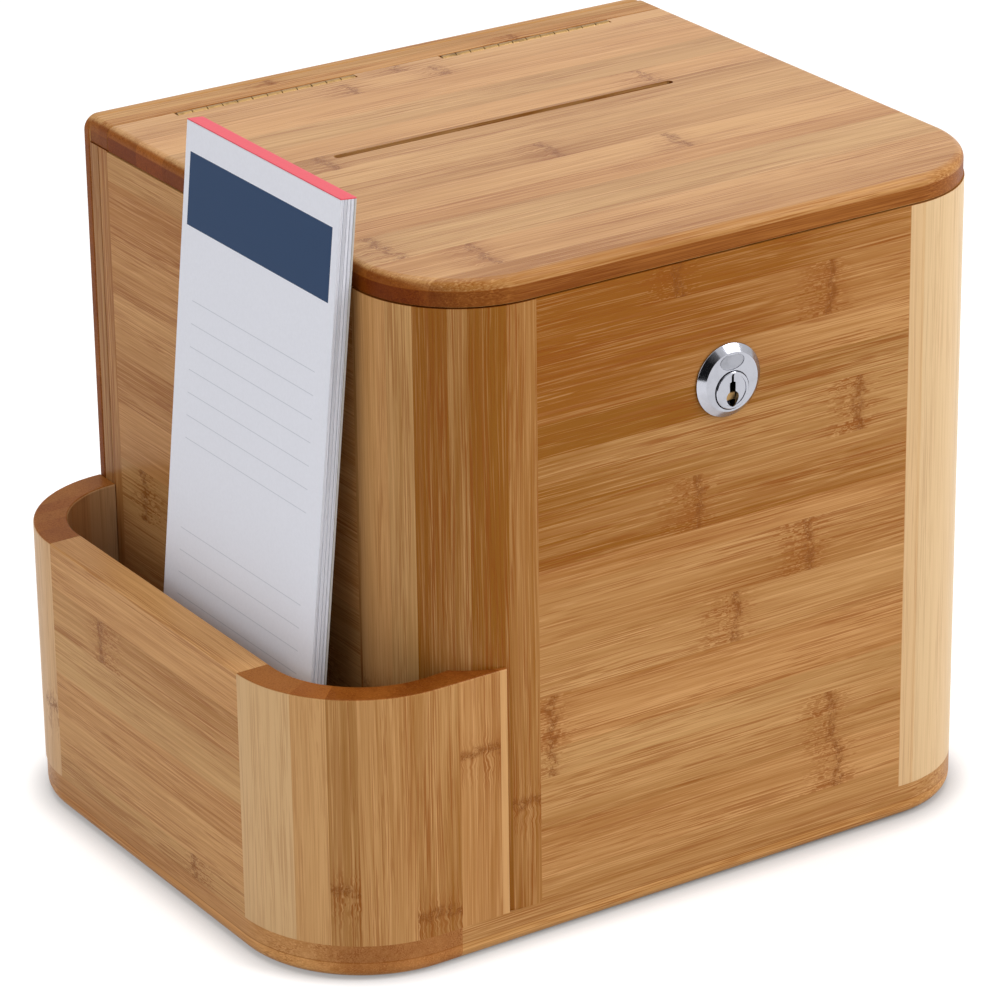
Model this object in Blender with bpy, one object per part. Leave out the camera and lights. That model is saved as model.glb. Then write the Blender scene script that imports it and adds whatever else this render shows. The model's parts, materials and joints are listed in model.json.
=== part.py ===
"""Bamboo suggestion box: a locking box with a hinged, slotted lid and an open side pocket for a pad of cards.

It stands on Z = 0 with its front towards -Y, and the origin is the middle of its overall width and depth.
All lengths are in metres.
"""

import math

import bmesh
import bpy
from mathutils import Matrix, Vector

# Box
BODY_WIDTH = 0.216
BODY_DEPTH = 0.201
OVERALL_HEIGHT = 0.218
CORNER_RADIUS = 0.036
POST_FLAT = 0.003
WALL = 0.010
BASE_THICKNESS = 0.0115
BASE_EDGE_ROUND = 0.004
BACK_BOARD_THICKNESS = 0.0038
BACK_BOARD_RADIUS = 0.005
BATTEN_DEPTH = 0.005
RAIL_SETBACK = 0.015
GLUE_GAP = 0.0003

# Pocket at the left side
POCKET_PROJECTION = 0.041
POCKET_HEIGHT = 0.094
POCKET_SIDE_WALL = 0.0115
POCKET_FRONT_WALL = 0.009
POCKET_REAR_WALL = 0.0105
POCKET_FRONT_LAP = 0.0025
WEDGE_TIP = 0.0087

# Lid
LID_THICKNESS = 0.008
LID_EDGE_ROUND = 0.003
LID_REAR_ROUND_SHARE = 0.75
LID_INSET = 0.0004
LID_GAP = 0.0008
SEAM_GAP = 0.0003
SLOT_LENGTH = 0.128
SLOT_WIDTH = 0.0028
SLOT_SETBACK = 0.0814

# Hinges
HINGE_LENGTH = 0.0666
HINGE_INSET = 0.0247
HINGE_AXIS_DEPTH = 0.0012
LEAF_SEAT_GAP = 0.00035
KNUCKLE_RADIUS = 0.00145
KNUCKLE_COUNT = 12
KNUCKLE_GAP = 0.0003
LEAF_THICKNESS = 0.0007
LEAF_EDGE_GAP = 0.0006
MORTISE_GAP = 0.0003
PIN_CLEARANCE = 0.0001
LEAF_SCREW_SHARES = (0.12, 0.5, 0.88)
LEAF_SCREW_LENGTH = 0.0065
LEAF_SCREW_RADIUS = 0.00055
LEAF_SCREW_HEAD_RADIUS = 0.0010
LEAF_SCREW_HEAD = 0.0004

# Lock
LOCK_DROP = 0.0415
PLUG_RADIUS = 0.0060
PLUG_DROP = 0.0027
PLUG_PROUD = 0.0006
PLUG_CHAMFER = 0.0004
PLUG_CLEARANCE = 0.0001
FACE_RIM = 0.0007
FACE_HEIGHT = 0.0024
BEVEL_WIDTH = 0.0023
BEZEL_RIM = 0.0004
BEZEL_SHOULDER = 0.0014
OVAL_MARGIN = 0.0005
OVAL_WIDTH = 0.0089
OVAL_DEPTH = 0.0003
KEYWAY_DEPTH = 0.012
# Half width and height of the keyway's outline, as shares of the plug's radius, from its foot to its top
KEYWAY_SHARES = (
    (0.04, -0.86), (0.11, -0.78), (0.20, -0.64), (0.27, -0.50), (0.29, -0.37),
    (0.27, -0.25), (0.21, -0.16), (0.12, -0.10), (0.12, 0.42), (0.05, 0.46), (0.05, 0.84),
)
NUT_WALL = 0.0024
NUT_THICKNESS = 0.003
BARREL_TAIL = 0.008
TAIL_SIZE = 0.006
CAM_THICKNESS = 0.0015
CAM_WIDTH = 0.009
CAM_HUB_WALL = 0.0025
CAM_CHAMFER = 0.0015
CAM_SCREW_RADIUS = 0.0015
CAM_SCREW_BEARING = 0.0007
CAM_SCREW_HEAD = 0.0015
CAM_SCREW_LENGTH = 0.006
FIT_GAP = 0.00015

# Keeper under the lid
KEEPER_SIDE_GAP = 0.001
KEEPER_WIDTH = 0.012
KEEPER_THICKNESS = 0.0015
KEEPER_BEND = 0.0012
KEEPER_CAM_GAP = 0.0007
KEEPER_REAR_GAP = 0.0022
KEEPER_FLANGE = 0.015
KEEPER_SCREW_SHARES = (0.3, 0.78)
KEEPER_SCREW_LENGTH = 0.0065
KEEPER_SCREW_RADIUS = 0.0011
KEEPER_SCREW_HEAD_RADIUS = 0.0022
KEEPER_SCREW_HEAD = 0.0009

# Pad of cards
PAD_WIDTH = 0.0889
PAD_LENGTH = 0.2286
PAD_THICKNESS = 0.0055
PAD_SETBACK = 0.0783
PAD_GAP = 0.0003
PAD_BACKING = 0.0007
PAD_GLUE = 0.0004
PAD_BOUND = 0.004
BUNDLE_GAP = 0.0003
BUNDLE_COUNT = 4

# Overrun of every cut past the faces that it opens
OVERRUN = 0.001

# Steps along a quarter of a large corner, an edge rounding and around small turned pieces
CORNER_STEPS = 14
EDGE_STEPS = 4
ROUND_STEPS = 40
SMALL_STEPS = 12
ROLL_STEPS = 12
ROLL_TURN = math.radians(288)

# Places worked out from the sizes
RIGHT = (BODY_WIDTH + POCKET_PROJECTION) / 2
LEFT = -RIGHT
BODY_LEFT = LEFT + POCKET_PROJECTION
BODY_MIDDLE = (BODY_LEFT + RIGHT) / 2
LOCK_PROUD = FACE_HEIGHT + PLUG_PROUD
FRONT = (LOCK_PROUD - BODY_DEPTH) / 2
BACK = FRONT + BODY_DEPTH
FLOOR_TOP = BASE_THICKNESS + GLUE_GAP
LID_UNDERSIDE = OVERALL_HEIGHT - LID_THICKNESS
WALL_TOP = LID_UNDERSIDE - LID_GAP
POST_WIDTH = CORNER_RADIUS + POST_FLAT
RAIL_FRONT = BACK - RAIL_SETBACK
BACK_BOARD_FRONT = BACK - BACK_BOARD_THICKNESS
BATTEN_BACK = BACK_BOARD_FRONT - GLUE_GAP
BATTEN_FRONT = BATTEN_BACK - BATTEN_DEPTH
POCKET_FRONT_RADIUS = POCKET_PROJECTION + POCKET_FRONT_LAP
POCKET_INNER_RADIUS = POCKET_FRONT_RADIUS - POCKET_SIDE_WALL
HINGE_Y = RAIL_FRONT - KNUCKLE_RADIUS - LEAF_SEAT_GAP
HINGE_Z = OVERALL_HEIGHT - HINGE_AXIS_DEPTH
LID_REAR_ROUND = HINGE_AXIS_DEPTH * LID_REAR_ROUND_SHARE
BORE_RADIUS = KNUCKLE_RADIUS - LEAF_THICKNESS
LOCK_Z = LID_UNDERSIDE - LOCK_DROP
PLUG_Z = LOCK_Z - PLUG_DROP
PLUG_BORE = PLUG_RADIUS + PLUG_CLEARANCE
FACE_RADIUS = PLUG_DROP + PLUG_BORE + FACE_RIM
BEZEL_RADIUS = FACE_RADIUS + BEVEL_WIDTH
BARREL_RADIUS = BEZEL_RADIUS - BEZEL_SHOULDER
BARREL_LENGTH = WALL + NUT_THICKNESS + BARREL_TAIL
BARREL_END = FRONT + BARREL_LENGTH
NUT_CORNER = (BARREL_RADIUS + FIT_GAP + NUT_WALL) / math.cos(math.radians(30))
CAM_FRONT = BARREL_END + GLUE_GAP
CAM_BACK = CAM_FRONT + CAM_THICKNESS
KEEPER_LEFT = BODY_MIDDLE + NUT_CORNER + KEEPER_SIDE_GAP
KEEPER_RIGHT = KEEPER_LEFT + KEEPER_WIDTH
CAM_LENGTH = KEEPER_RIGHT - BODY_MIDDLE
PAD_MIDDLE = FRONT + PAD_SETBACK


def clear_scene():
    """Empties the file of objects."""
    for thing in list(bpy.data.objects):
        bpy.data.objects.remove(thing, do_unlink=True)


def finish_material(name, colour, roughness, metallic=0.0):
    """A plain Principled material."""
    made = bpy.data.materials.new(name)
    made.use_nodes = True
    shader = made.node_tree.nodes["Principled BSDF"]
    shader.inputs["Base Color"].default_value = (*colour, 1.0)
    shader.inputs["Roughness"].default_value = roughness
    shader.inputs["Metallic"].default_value = metallic
    made.diffuse_color = (*colour, 1.0)
    return made


def pivot(name, location, tilt=0.0):
    """An empty that carries one body, tilted about Y."""
    holder = bpy.data.objects.new(name, None)
    holder.location = location
    holder.rotation_euler = (0.0, tilt, 0.0)
    bpy.context.scene.collection.objects.link(holder)
    return holder


def place(name, bm, holder, material=None, own_frame=False, smooth=False):
    """Makes a mesh object from world coordinates, with its origin on the pivot that carries it."""
    bmesh.ops.recalc_face_normals(bm, faces=bm.faces[:])
    mesh = bpy.data.meshes.new(name)
    bm.to_mesh(mesh)
    bm.free()
    if not own_frame:
        mesh.transform(Matrix.Translation(-holder.location))
    piece = bpy.data.objects.new(name, mesh)
    bpy.context.scene.collection.objects.link(piece)
    piece.parent = holder
    if material:
        mesh.materials.append(material)
    if smooth:
        mesh.shade_smooth()
        mesh.set_sharp_from_angle(angle=math.radians(30))
    return piece


def as_cutter(piece):
    """Marks a piece as a cutter, which isn't part of the box."""
    piece.hide_render = True
    piece.display_type = "WIRE"
    return piece


def cut(piece, *cutters):
    """Takes the cutters out of the piece."""
    for cutter in cutters:
        boolean = piece.modifiers.new("cut " + cutter.name, "BOOLEAN")
        boolean.operation = "DIFFERENCE"
        boolean.solver = "EXACT"
        boolean.object = cutter


def arc(centre_x, centre_y, radius_x, radius_y, start, end, steps=CORNER_STEPS):
    """Points along an arc, in degrees from +X, both ends included."""
    angles = [math.radians(start + (end - start) * i / steps) for i in range(steps + 1)]
    return [(centre_x + radius_x * math.cos(a), centre_y + radius_y * math.sin(a)) for a in angles]


def add_loft(bm, loops):
    """Joins loops of as many points each, lowest first, and caps both ends."""
    rings = [[bm.verts.new(point) for point in loop] for loop in loops]
    for lower, upper in zip(rings, rings[1:]):
        for i in range(len(lower)):
            j = (i + 1) % len(lower)
            bm.faces.new((lower[i], lower[j], upper[j], upper[i]))
    bm.faces.new(rings[0])
    bm.faces.new(rings[-1])


def add_upright(bm, outline, low, high):
    """An upright prism over an outline in X and Y."""
    add_loft(bm, [[(x, y, z) for x, y in outline] for z in (low, high)])


def add_block(bm, low, high):
    """A straight block between two corners."""
    outline = [(low[0], low[1]), (high[0], low[1]), (high[0], high[1]), (low[0], high[1])]
    add_upright(bm, outline, low[2], high[2])


AXES = {
    "X": (Vector((1, 0, 0)), Vector((0, 1, 0)), Vector((0, 0, 1))),
    "Y": (Vector((0, 1, 0)), Vector((1, 0, 0)), Vector((0, 0, 1))),
    "Z": (Vector((0, 0, 1)), Vector((1, 0, 0)), Vector((0, 1, 0))),
}


def add_turned(bm, at, axis, profile, steps):
    """A turned solid: profile holds (radius, distance along the axis from the point), end to end."""
    along, across, up = AXES[axis]
    turns = [2 * math.pi * i / steps for i in range(steps)]
    loops = []
    for radius, distance in profile:
        centre = Vector(at) + along * distance
        loops.append([centre + (across * math.cos(t) + up * math.sin(t)) * radius for t in turns])
    add_loft(bm, loops)


def screw_profile(radius, length, head_radius, head):
    """A flat-headed screw whose head ends at distance 0 and whose shank runs on from there."""
    return [
        (head_radius, -head), (head_radius, 0), (radius, 0), (radius, length - radius), (radius / 3, length),
    ]


def flipped(profile):
    """The same profile, running the other way along its axis."""
    return [(radius, -distance) for radius, distance in profile]


def make_base(holder, bamboo):
    """One board under the box and the pocket. Its lower edge is rounded over at the front and the sides."""
    a, b, d = POCKET_FRONT_RADIUS, CORNER_RADIUS, POCKET_PROJECTION

    def outline(inset):
        return (
            arc(LEFT + a, FRONT + a, a - inset, a - inset, 180, 270)
            + arc(RIGHT - b, FRONT + b, b - inset, b - inset, 270, 360)
            + [(RIGHT - inset, BACK)]
            + arc(LEFT + d, BACK - d, d - inset, d, 90, 180)
        )

    loops = []
    for i in range(EDGE_STEPS + 1):
        turn = math.radians(90) * i / EDGE_STEPS
        inset = BASE_EDGE_ROUND * (1 - math.sin(turn))
        height = BASE_EDGE_ROUND * (1 - math.cos(turn))
        loops.append([(x, y, height) for x, y in outline(inset)])
    loops.append([(x, y, BASE_THICKNESS) for x, y in outline(0)])
    bm = bmesh.new()
    add_loft(bm, loops)
    place("base_board", bm, holder, bamboo, smooth=True)


def make_front_post(name, side, holder, bamboo):
    """A rounded front post: a quarter round of the wall's thickness, with a short flat each way."""
    wall_x = BODY_LEFT if side < 0 else RIGHT
    inner = CORNER_RADIUS - WALL

    def across(points):
        return [(wall_x - side * x, FRONT + y) for x, y in points]

    outer_arc = arc(CORNER_RADIUS, CORNER_RADIUS, CORNER_RADIUS, CORNER_RADIUS, 270, 180)
    inner_arc = arc(CORNER_RADIUS, CORNER_RADIUS, inner, inner, 180, 270)
    outer_side = [(POST_WIDTH, 0), *outer_arc, (0, POST_WIDTH)]
    outline = outer_side + [(WALL, POST_WIDTH), *inner_arc, (POST_WIDTH, WALL)]
    bm = bmesh.new()
    add_upright(bm, across(outline), FLOOR_TOP, WALL_TOP)
    place(name, bm, holder, bamboo, smooth=True)


def make_walls(holder, bamboo):
    """Front and side panels, the strips behind them, the back board and the top rail."""
    panel_side = POST_WIDTH + GLUE_GAP
    bm = bmesh.new()
    add_block(bm, (BODY_LEFT + panel_side, FRONT, FLOOR_TOP), (RIGHT - panel_side, FRONT + WALL, WALL_TOP))
    front = place("front_panel", bm, holder, bamboo)
    bm = bmesh.new()
    hole = [(BARREL_RADIUS + GLUE_GAP, -OVERRUN), (BARREL_RADIUS + GLUE_GAP, WALL + OVERRUN)]
    add_turned(bm, (BODY_MIDDLE, FRONT, LOCK_Z), "Y", hole, ROUND_STEPS)
    cut(front, as_cutter(place("lock_hole_cutter", bm, holder)))

    strip_back = BATTEN_FRONT - GLUE_GAP
    strip_top = LID_UNDERSIDE - GLUE_GAP
    for word, inner, outer in (("left", BODY_LEFT + WALL, BODY_LEFT), ("right", RIGHT - WALL, RIGHT)):
        low, high = min(inner, outer), max(inner, outer)
        bm = bmesh.new()
        add_block(bm, (low, FRONT + panel_side, FLOOR_TOP), (high, RAIL_FRONT - GLUE_GAP, WALL_TOP))
        place(word + "_side_panel", bm, holder, bamboo)
        bm = bmesh.new()
        add_block(bm, (low, RAIL_FRONT, FLOOR_TOP), (high, strip_back, strip_top))
        place("rear_" + word + "_strip", bm, holder, bamboo)
        bm = bmesh.new()
        add_block(bm, (low, BATTEN_FRONT, FLOOR_TOP), (high, BATTEN_BACK, strip_top))
        place("rear_" + word + "_batten", bm, holder, bamboo)

    radius = BACK_BOARD_RADIUS
    top = OVERALL_HEIGHT - radius
    outline = (
        [(BODY_LEFT, FLOOR_TOP), (RIGHT, FLOOR_TOP)]
        + arc(RIGHT - radius, top, radius, radius, 0, 90, EDGE_STEPS * 2)
        + arc(BODY_LEFT + radius, top, radius, radius, 90, 180, EDGE_STEPS * 2)
    )
    bm = bmesh.new()
    add_loft(bm, [[(x, y, z) for x, z in outline] for y in (BACK_BOARD_FRONT, BACK)])
    place("back_board", bm, holder, bamboo, smooth=True)


def edge_stations(low, high, radius):
    """Heights and insets of a board whose upper edge is rounded over."""
    stations = [(low, 0.0)]
    for i in range(EDGE_STEPS + 1):
        turn = math.radians(90) * i / EDGE_STEPS
        stations.append((high - radius + radius * math.sin(turn), radius * (1 - math.cos(turn))))
    return stations


def rear_inset(height):
    """How far the small rounding at the lid's rear edge draws in at a height."""
    rise = height - (OVERALL_HEIGHT - LID_REAR_ROUND)
    if rise <= 0:
        return 0.0
    return LID_REAR_ROUND - math.sqrt(max(LID_REAR_ROUND**2 - rise**2, 0.0))


def make_rail(holder, bamboo):
    """The fixed strip behind the hinges, its ends rounded over like the lid's sides."""
    left, right = BODY_LEFT + LID_INSET, RIGHT - LID_INSET
    loops = []
    for z, inset in edge_stations(LID_UNDERSIDE, OVERALL_HEIGHT, LID_EDGE_ROUND):
        a, b = left + inset, right - inset
        loops.append([(a, RAIL_FRONT, z), (b, RAIL_FRONT, z), (b, BATTEN_BACK, z), (a, BATTEN_BACK, z)])
    bm = bmesh.new()
    add_loft(bm, loops)
    return place("top_rail", bm, holder, bamboo)


def make_pocket(holder, bamboo):
    """Side panel, staved front corner and curved rear corner of the pocket."""
    rear_radius = POCKET_PROJECTION - GLUE_GAP
    bm = bmesh.new()
    low = (LEFT, FRONT + POCKET_FRONT_RADIUS + GLUE_GAP, FLOOR_TOP)
    high = (LEFT + POCKET_SIDE_WALL, BACK - POCKET_PROJECTION - GLUE_GAP, POCKET_HEIGHT)
    add_block(bm, low, high)
    place("pocket_left_panel", bm, holder, bamboo)

    radius, inner = POCKET_FRONT_RADIUS, POCKET_INNER_RADIUS
    post = CORNER_RADIUS + GLUE_GAP
    post_x, post_y = BODY_LEFT + CORNER_RADIUS, FRONT + CORNER_RADIUS
    tip_turn = 270 - math.degrees(math.asin(WEDGE_TIP / post))
    wall_turn = 270 - math.degrees(math.acos((CORNER_RADIUS - POCKET_FRONT_WALL) / post))
    along_post = arc(post_x, post_y, post, post, tip_turn, wall_turn)
    outline = (
        arc(LEFT + radius, FRONT + radius, radius, radius, 180, 270)
        + [(along_post[0][0], FRONT)]
        + along_post
        + arc(LEFT + POCKET_SIDE_WALL + inner, FRONT + POCKET_FRONT_WALL + inner, inner, inner, 270, 180)
        + [(LEFT + POCKET_SIDE_WALL, FRONT + radius)]
    )
    bm = bmesh.new()
    add_upright(bm, outline, FLOOR_TOP, POCKET_HEIGHT)
    place("pocket_front_corner", bm, holder, bamboo, smooth=True)

    centre_x, centre_y = LEFT + rear_radius, BACK - POCKET_PROJECTION
    depth = POCKET_PROJECTION
    inner_arc = arc(centre_x, centre_y, rear_radius - POCKET_SIDE_WALL, depth - POCKET_REAR_WALL, 90, 180)
    outline = arc(centre_x, centre_y, rear_radius, depth, 180, 90) + inner_arc
    bm = bmesh.new()
    add_upright(bm, outline, FLOOR_TOP, POCKET_HEIGHT)
    place("pocket_rear_corner", bm, holder, bamboo, smooth=True)


def make_lid(holder, bamboo):
    """The lid board: rounded front corners and edges, a card slot and a mortise for each hinge."""
    left, right = BODY_LEFT + LID_INSET, RIGHT - LID_INSET
    radius = CORNER_RADIUS - LID_INSET
    front, rear = FRONT + LID_INSET, RAIL_FRONT - SEAM_GAP
    loops = []
    for z, inset in edge_stations(LID_UNDERSIDE, OVERALL_HEIGHT, LID_EDGE_ROUND):
        small = radius - inset
        back = rear - rear_inset(z)
        outline = (
            [(left + inset, back)]
            + arc(left + radius, front + radius, small, small, 180, 270)
            + arc(right - radius, front + radius, small, small, 270, 360)
            + [(right - inset, back)]
        )
        loops.append([(x, y, z) for x, y in outline])
    bm = bmesh.new()
    add_loft(bm, loops)
    lid = place("lid_panel", bm, holder, bamboo, smooth=True)

    bottom, top = LID_UNDERSIDE - OVERRUN, OVERALL_HEIGHT + OVERRUN
    half, reach = SLOT_WIDTH / 2, (SLOT_LENGTH - SLOT_WIDTH) / 2
    slot_y = BACK - SLOT_SETBACK
    outline = (
        arc(BODY_MIDDLE + reach, slot_y, half, half, -90, 90, EDGE_STEPS * 2)
        + arc(BODY_MIDDLE - reach, slot_y, half, half, 90, 270, EDGE_STEPS * 2)
    )
    bm = bmesh.new()
    add_upright(bm, outline, bottom, top)
    cutters = [place("slot_cutter", bm, holder)]
    mortise_front = HINGE_Y - KNUCKLE_RADIUS - MORTISE_GAP
    for word, start in hinge_starts():
        bm = bmesh.new()
        end = start + HINGE_LENGTH + MORTISE_GAP
        add_block(bm, (start - MORTISE_GAP, mortise_front, bottom), (end, RAIL_FRONT, top))
        cutters.append(place(word + "_mortise_cutter", bm, holder))
    cut(lid, *[as_cutter(cutter) for cutter in cutters])
    return lid


def hinge_starts():
    """Name and left end of each hinge."""
    return (
        ("left", BODY_LEFT + HINGE_INSET),
        ("right", RIGHT - HINGE_INSET - HINGE_LENGTH),
    )


def leaf_screw_spots(start):
    """X of each screw along a leaf."""
    return [start + HINGE_LENGTH * share for share in LEAF_SCREW_SHARES]


def leaf_screw_height():
    """Height of the leaf screws, in the middle of the plate below the knuckles."""
    return (HINGE_Z - KNUCKLE_RADIUS - KNUCKLE_GAP + LID_UNDERSIDE + LEAF_EDGE_GAP) / 2


def add_leaf(bm, start, side, own):
    """One hinge leaf: a plate with a tab at each of its own knuckles, each tab rolled over the pin."""
    pitch = HINGE_LENGTH / KNUCKLE_COUNT
    notch = HINGE_Z - KNUCKLE_RADIUS - KNUCKLE_GAP
    outline = [(start, LID_UNDERSIDE + LEAF_EDGE_GAP), (start + HINGE_LENGTH, LID_UNDERSIDE + LEAF_EDGE_GAP)]
    outline.append((start + HINGE_LENGTH, notch))
    tabs = []
    for k in reversed(range(KNUCKLE_COUNT)):
        if k % 2 != own:
            continue
        a, b = start + pitch * k + KNUCKLE_GAP / 2, start + pitch * (k + 1) - KNUCKLE_GAP / 2
        tabs.append((a, b))
        outline += [(b, notch), (b, HINGE_Z), (a, HINGE_Z), (a, notch)]
    outline.append((start, notch))

    radii = (BORE_RADIUS, KNUCKLE_RADIUS)
    sheets = [[bm.verts.new((x, HINGE_Y + side * r, z)) for x, z in outline] for r in radii]
    bm.faces.new(sheets[0])
    bm.faces.new(sheets[1])
    top_edges = {3 + 4 * i + 1 for i in range(len(tabs))}
    for i in range(len(outline)):
        j = (i + 1) % len(outline)
        if i not in top_edges:
            bm.faces.new((sheets[0][i], sheets[0][j], sheets[1][j], sheets[1][i]))
            continue
        ring = [sheets[1][i], sheets[1][j], sheets[0][j], sheets[0][i]]
        right, left = outline[i][0], outline[j][0]
        for step in range(1, ROLL_STEPS + 1):
            turn = ROLL_TURN * step / ROLL_STEPS
            y, z = side * math.cos(turn), math.sin(turn)
            spots = ((right, radii[1]), (left, radii[1]), (left, radii[0]), (right, radii[0]))
            following = [bm.verts.new((x, HINGE_Y + y * r, HINGE_Z + z * r)) for x, r in spots]
            for m in range(4):
                n = (m + 1) % 4
                bm.faces.new((ring[m], ring[n], following[n], following[m]))
            ring = following
        bm.faces.new(ring)


def make_hinge(word, start, box, lid, brass):
    """Leaves, pin and screws of one hinge. Returns the cutters of the screws' holes in rail and lid."""
    pilots = []
    height = leaf_screw_height()
    screw = screw_profile(LEAF_SCREW_RADIUS, LEAF_SCREW_LENGTH, LEAF_SCREW_HEAD_RADIUS, LEAF_SCREW_HEAD)
    hole_radius = LEAF_SCREW_RADIUS + FIT_GAP
    hole = [(hole_radius, -OVERRUN / 4), (hole_radius, LEAF_SCREW_LENGTH + FIT_GAP)]
    for kind, holder, side, own in (("rail", box, 1, 0), ("lid", lid, -1, 1)):
        bm = bmesh.new()
        add_leaf(bm, start, side, own)
        leaf = place(f"{word}_hinge_{kind}_leaf", bm, holder, brass, smooth=True)
        seat = HINGE_Y + side * (BORE_RADIUS - FIT_GAP)
        bm = bmesh.new()
        for x in leaf_screw_spots(start):
            profile = hole if side > 0 else flipped(hole)
            add_turned(bm, (x, seat, height), "Y", profile, SMALL_STEPS)
        pilot = as_cutter(place(f"{word}_{kind}_pilot_cutter", bm, holder))
        cut(leaf, pilot)
        pilots.append(pilot)
        for number, x in enumerate(leaf_screw_spots(start), 1):
            profile = screw if side > 0 else flipped(screw)
            bm = bmesh.new()
            add_turned(bm, (x, seat, height), "Y", profile, SMALL_STEPS)
            place(f"{word}_hinge_{kind}_screw_{number}", bm, holder, brass, smooth=True)
    bm = bmesh.new()
    pin = BORE_RADIUS - PIN_CLEARANCE
    chamfer = pin / 3
    end = HINGE_LENGTH
    profile = [(pin - chamfer, 0), (pin, chamfer), (pin, end - chamfer), (pin - chamfer, end)]
    add_turned(bm, (start, HINGE_Y, HINGE_Z), "X", profile, SMALL_STEPS)
    place(f"{word}_hinge_pin", bm, box, brass, smooth=True)
    return pilots


def make_lock_body(holder, chrome):
    """Face and barrel of the lock, bored off-centre for the plug, with an oval recess above the bore."""
    at = (BODY_MIDDLE, FRONT, LOCK_Z)
    profile = [
        (FACE_RADIUS, -FACE_HEIGHT),
        (BEZEL_RADIUS, -FIT_GAP - BEZEL_RIM),
        (BEZEL_RADIUS, -FIT_GAP),
        (BARREL_RADIUS, -FIT_GAP),
        (BARREL_RADIUS, BARREL_LENGTH),
    ]
    bm = bmesh.new()
    add_turned(bm, at, "Y", profile, ROUND_STEPS)
    body = place("lock_body", bm, holder, chrome, smooth=True)
    bm = bmesh.new()
    profile = [(PLUG_BORE, -FACE_HEIGHT - OVERRUN), (PLUG_BORE, BARREL_LENGTH + OVERRUN)]
    add_turned(bm, (BODY_MIDDLE, FRONT, PLUG_Z), "Y", profile, ROUND_STEPS)
    plug_bore = as_cutter(place("plug_bore_cutter", bm, holder))
    plug_top = PLUG_BORE - PLUG_DROP
    rise, half_height = (FACE_RADIUS + plug_top) / 2, (FACE_RADIUS - plug_top) / 2 - OVAL_MARGIN
    outline = arc(BODY_MIDDLE, LOCK_Z + rise, OVAL_WIDTH / 2, half_height, 0, 345, 23)
    bm = bmesh.new()
    depths = (FRONT - FACE_HEIGHT - OVERRUN, FRONT - FACE_HEIGHT + OVAL_DEPTH)
    add_loft(bm, [[(x, y, z) for x, z in outline] for y in depths])
    cut(body, plug_bore, as_cutter(place("oval_recess_cutter", bm, holder)))

    bm = bmesh.new()
    low = WALL + FIT_GAP
    add_turned(bm, at, "Y", [(NUT_CORNER, low), (NUT_CORNER, low + NUT_THICKNESS)], 6)
    nut = place("lock_nut", bm, holder, chrome)
    bm = bmesh.new()
    radius = BARREL_RADIUS + FIT_GAP
    add_turned(bm, at, "Y", [(radius, 0), (radius, low + NUT_THICKNESS + OVERRUN)], ROUND_STEPS)
    cut(nut, as_cutter(place("nut_bore_cutter", bm, holder)))


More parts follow.
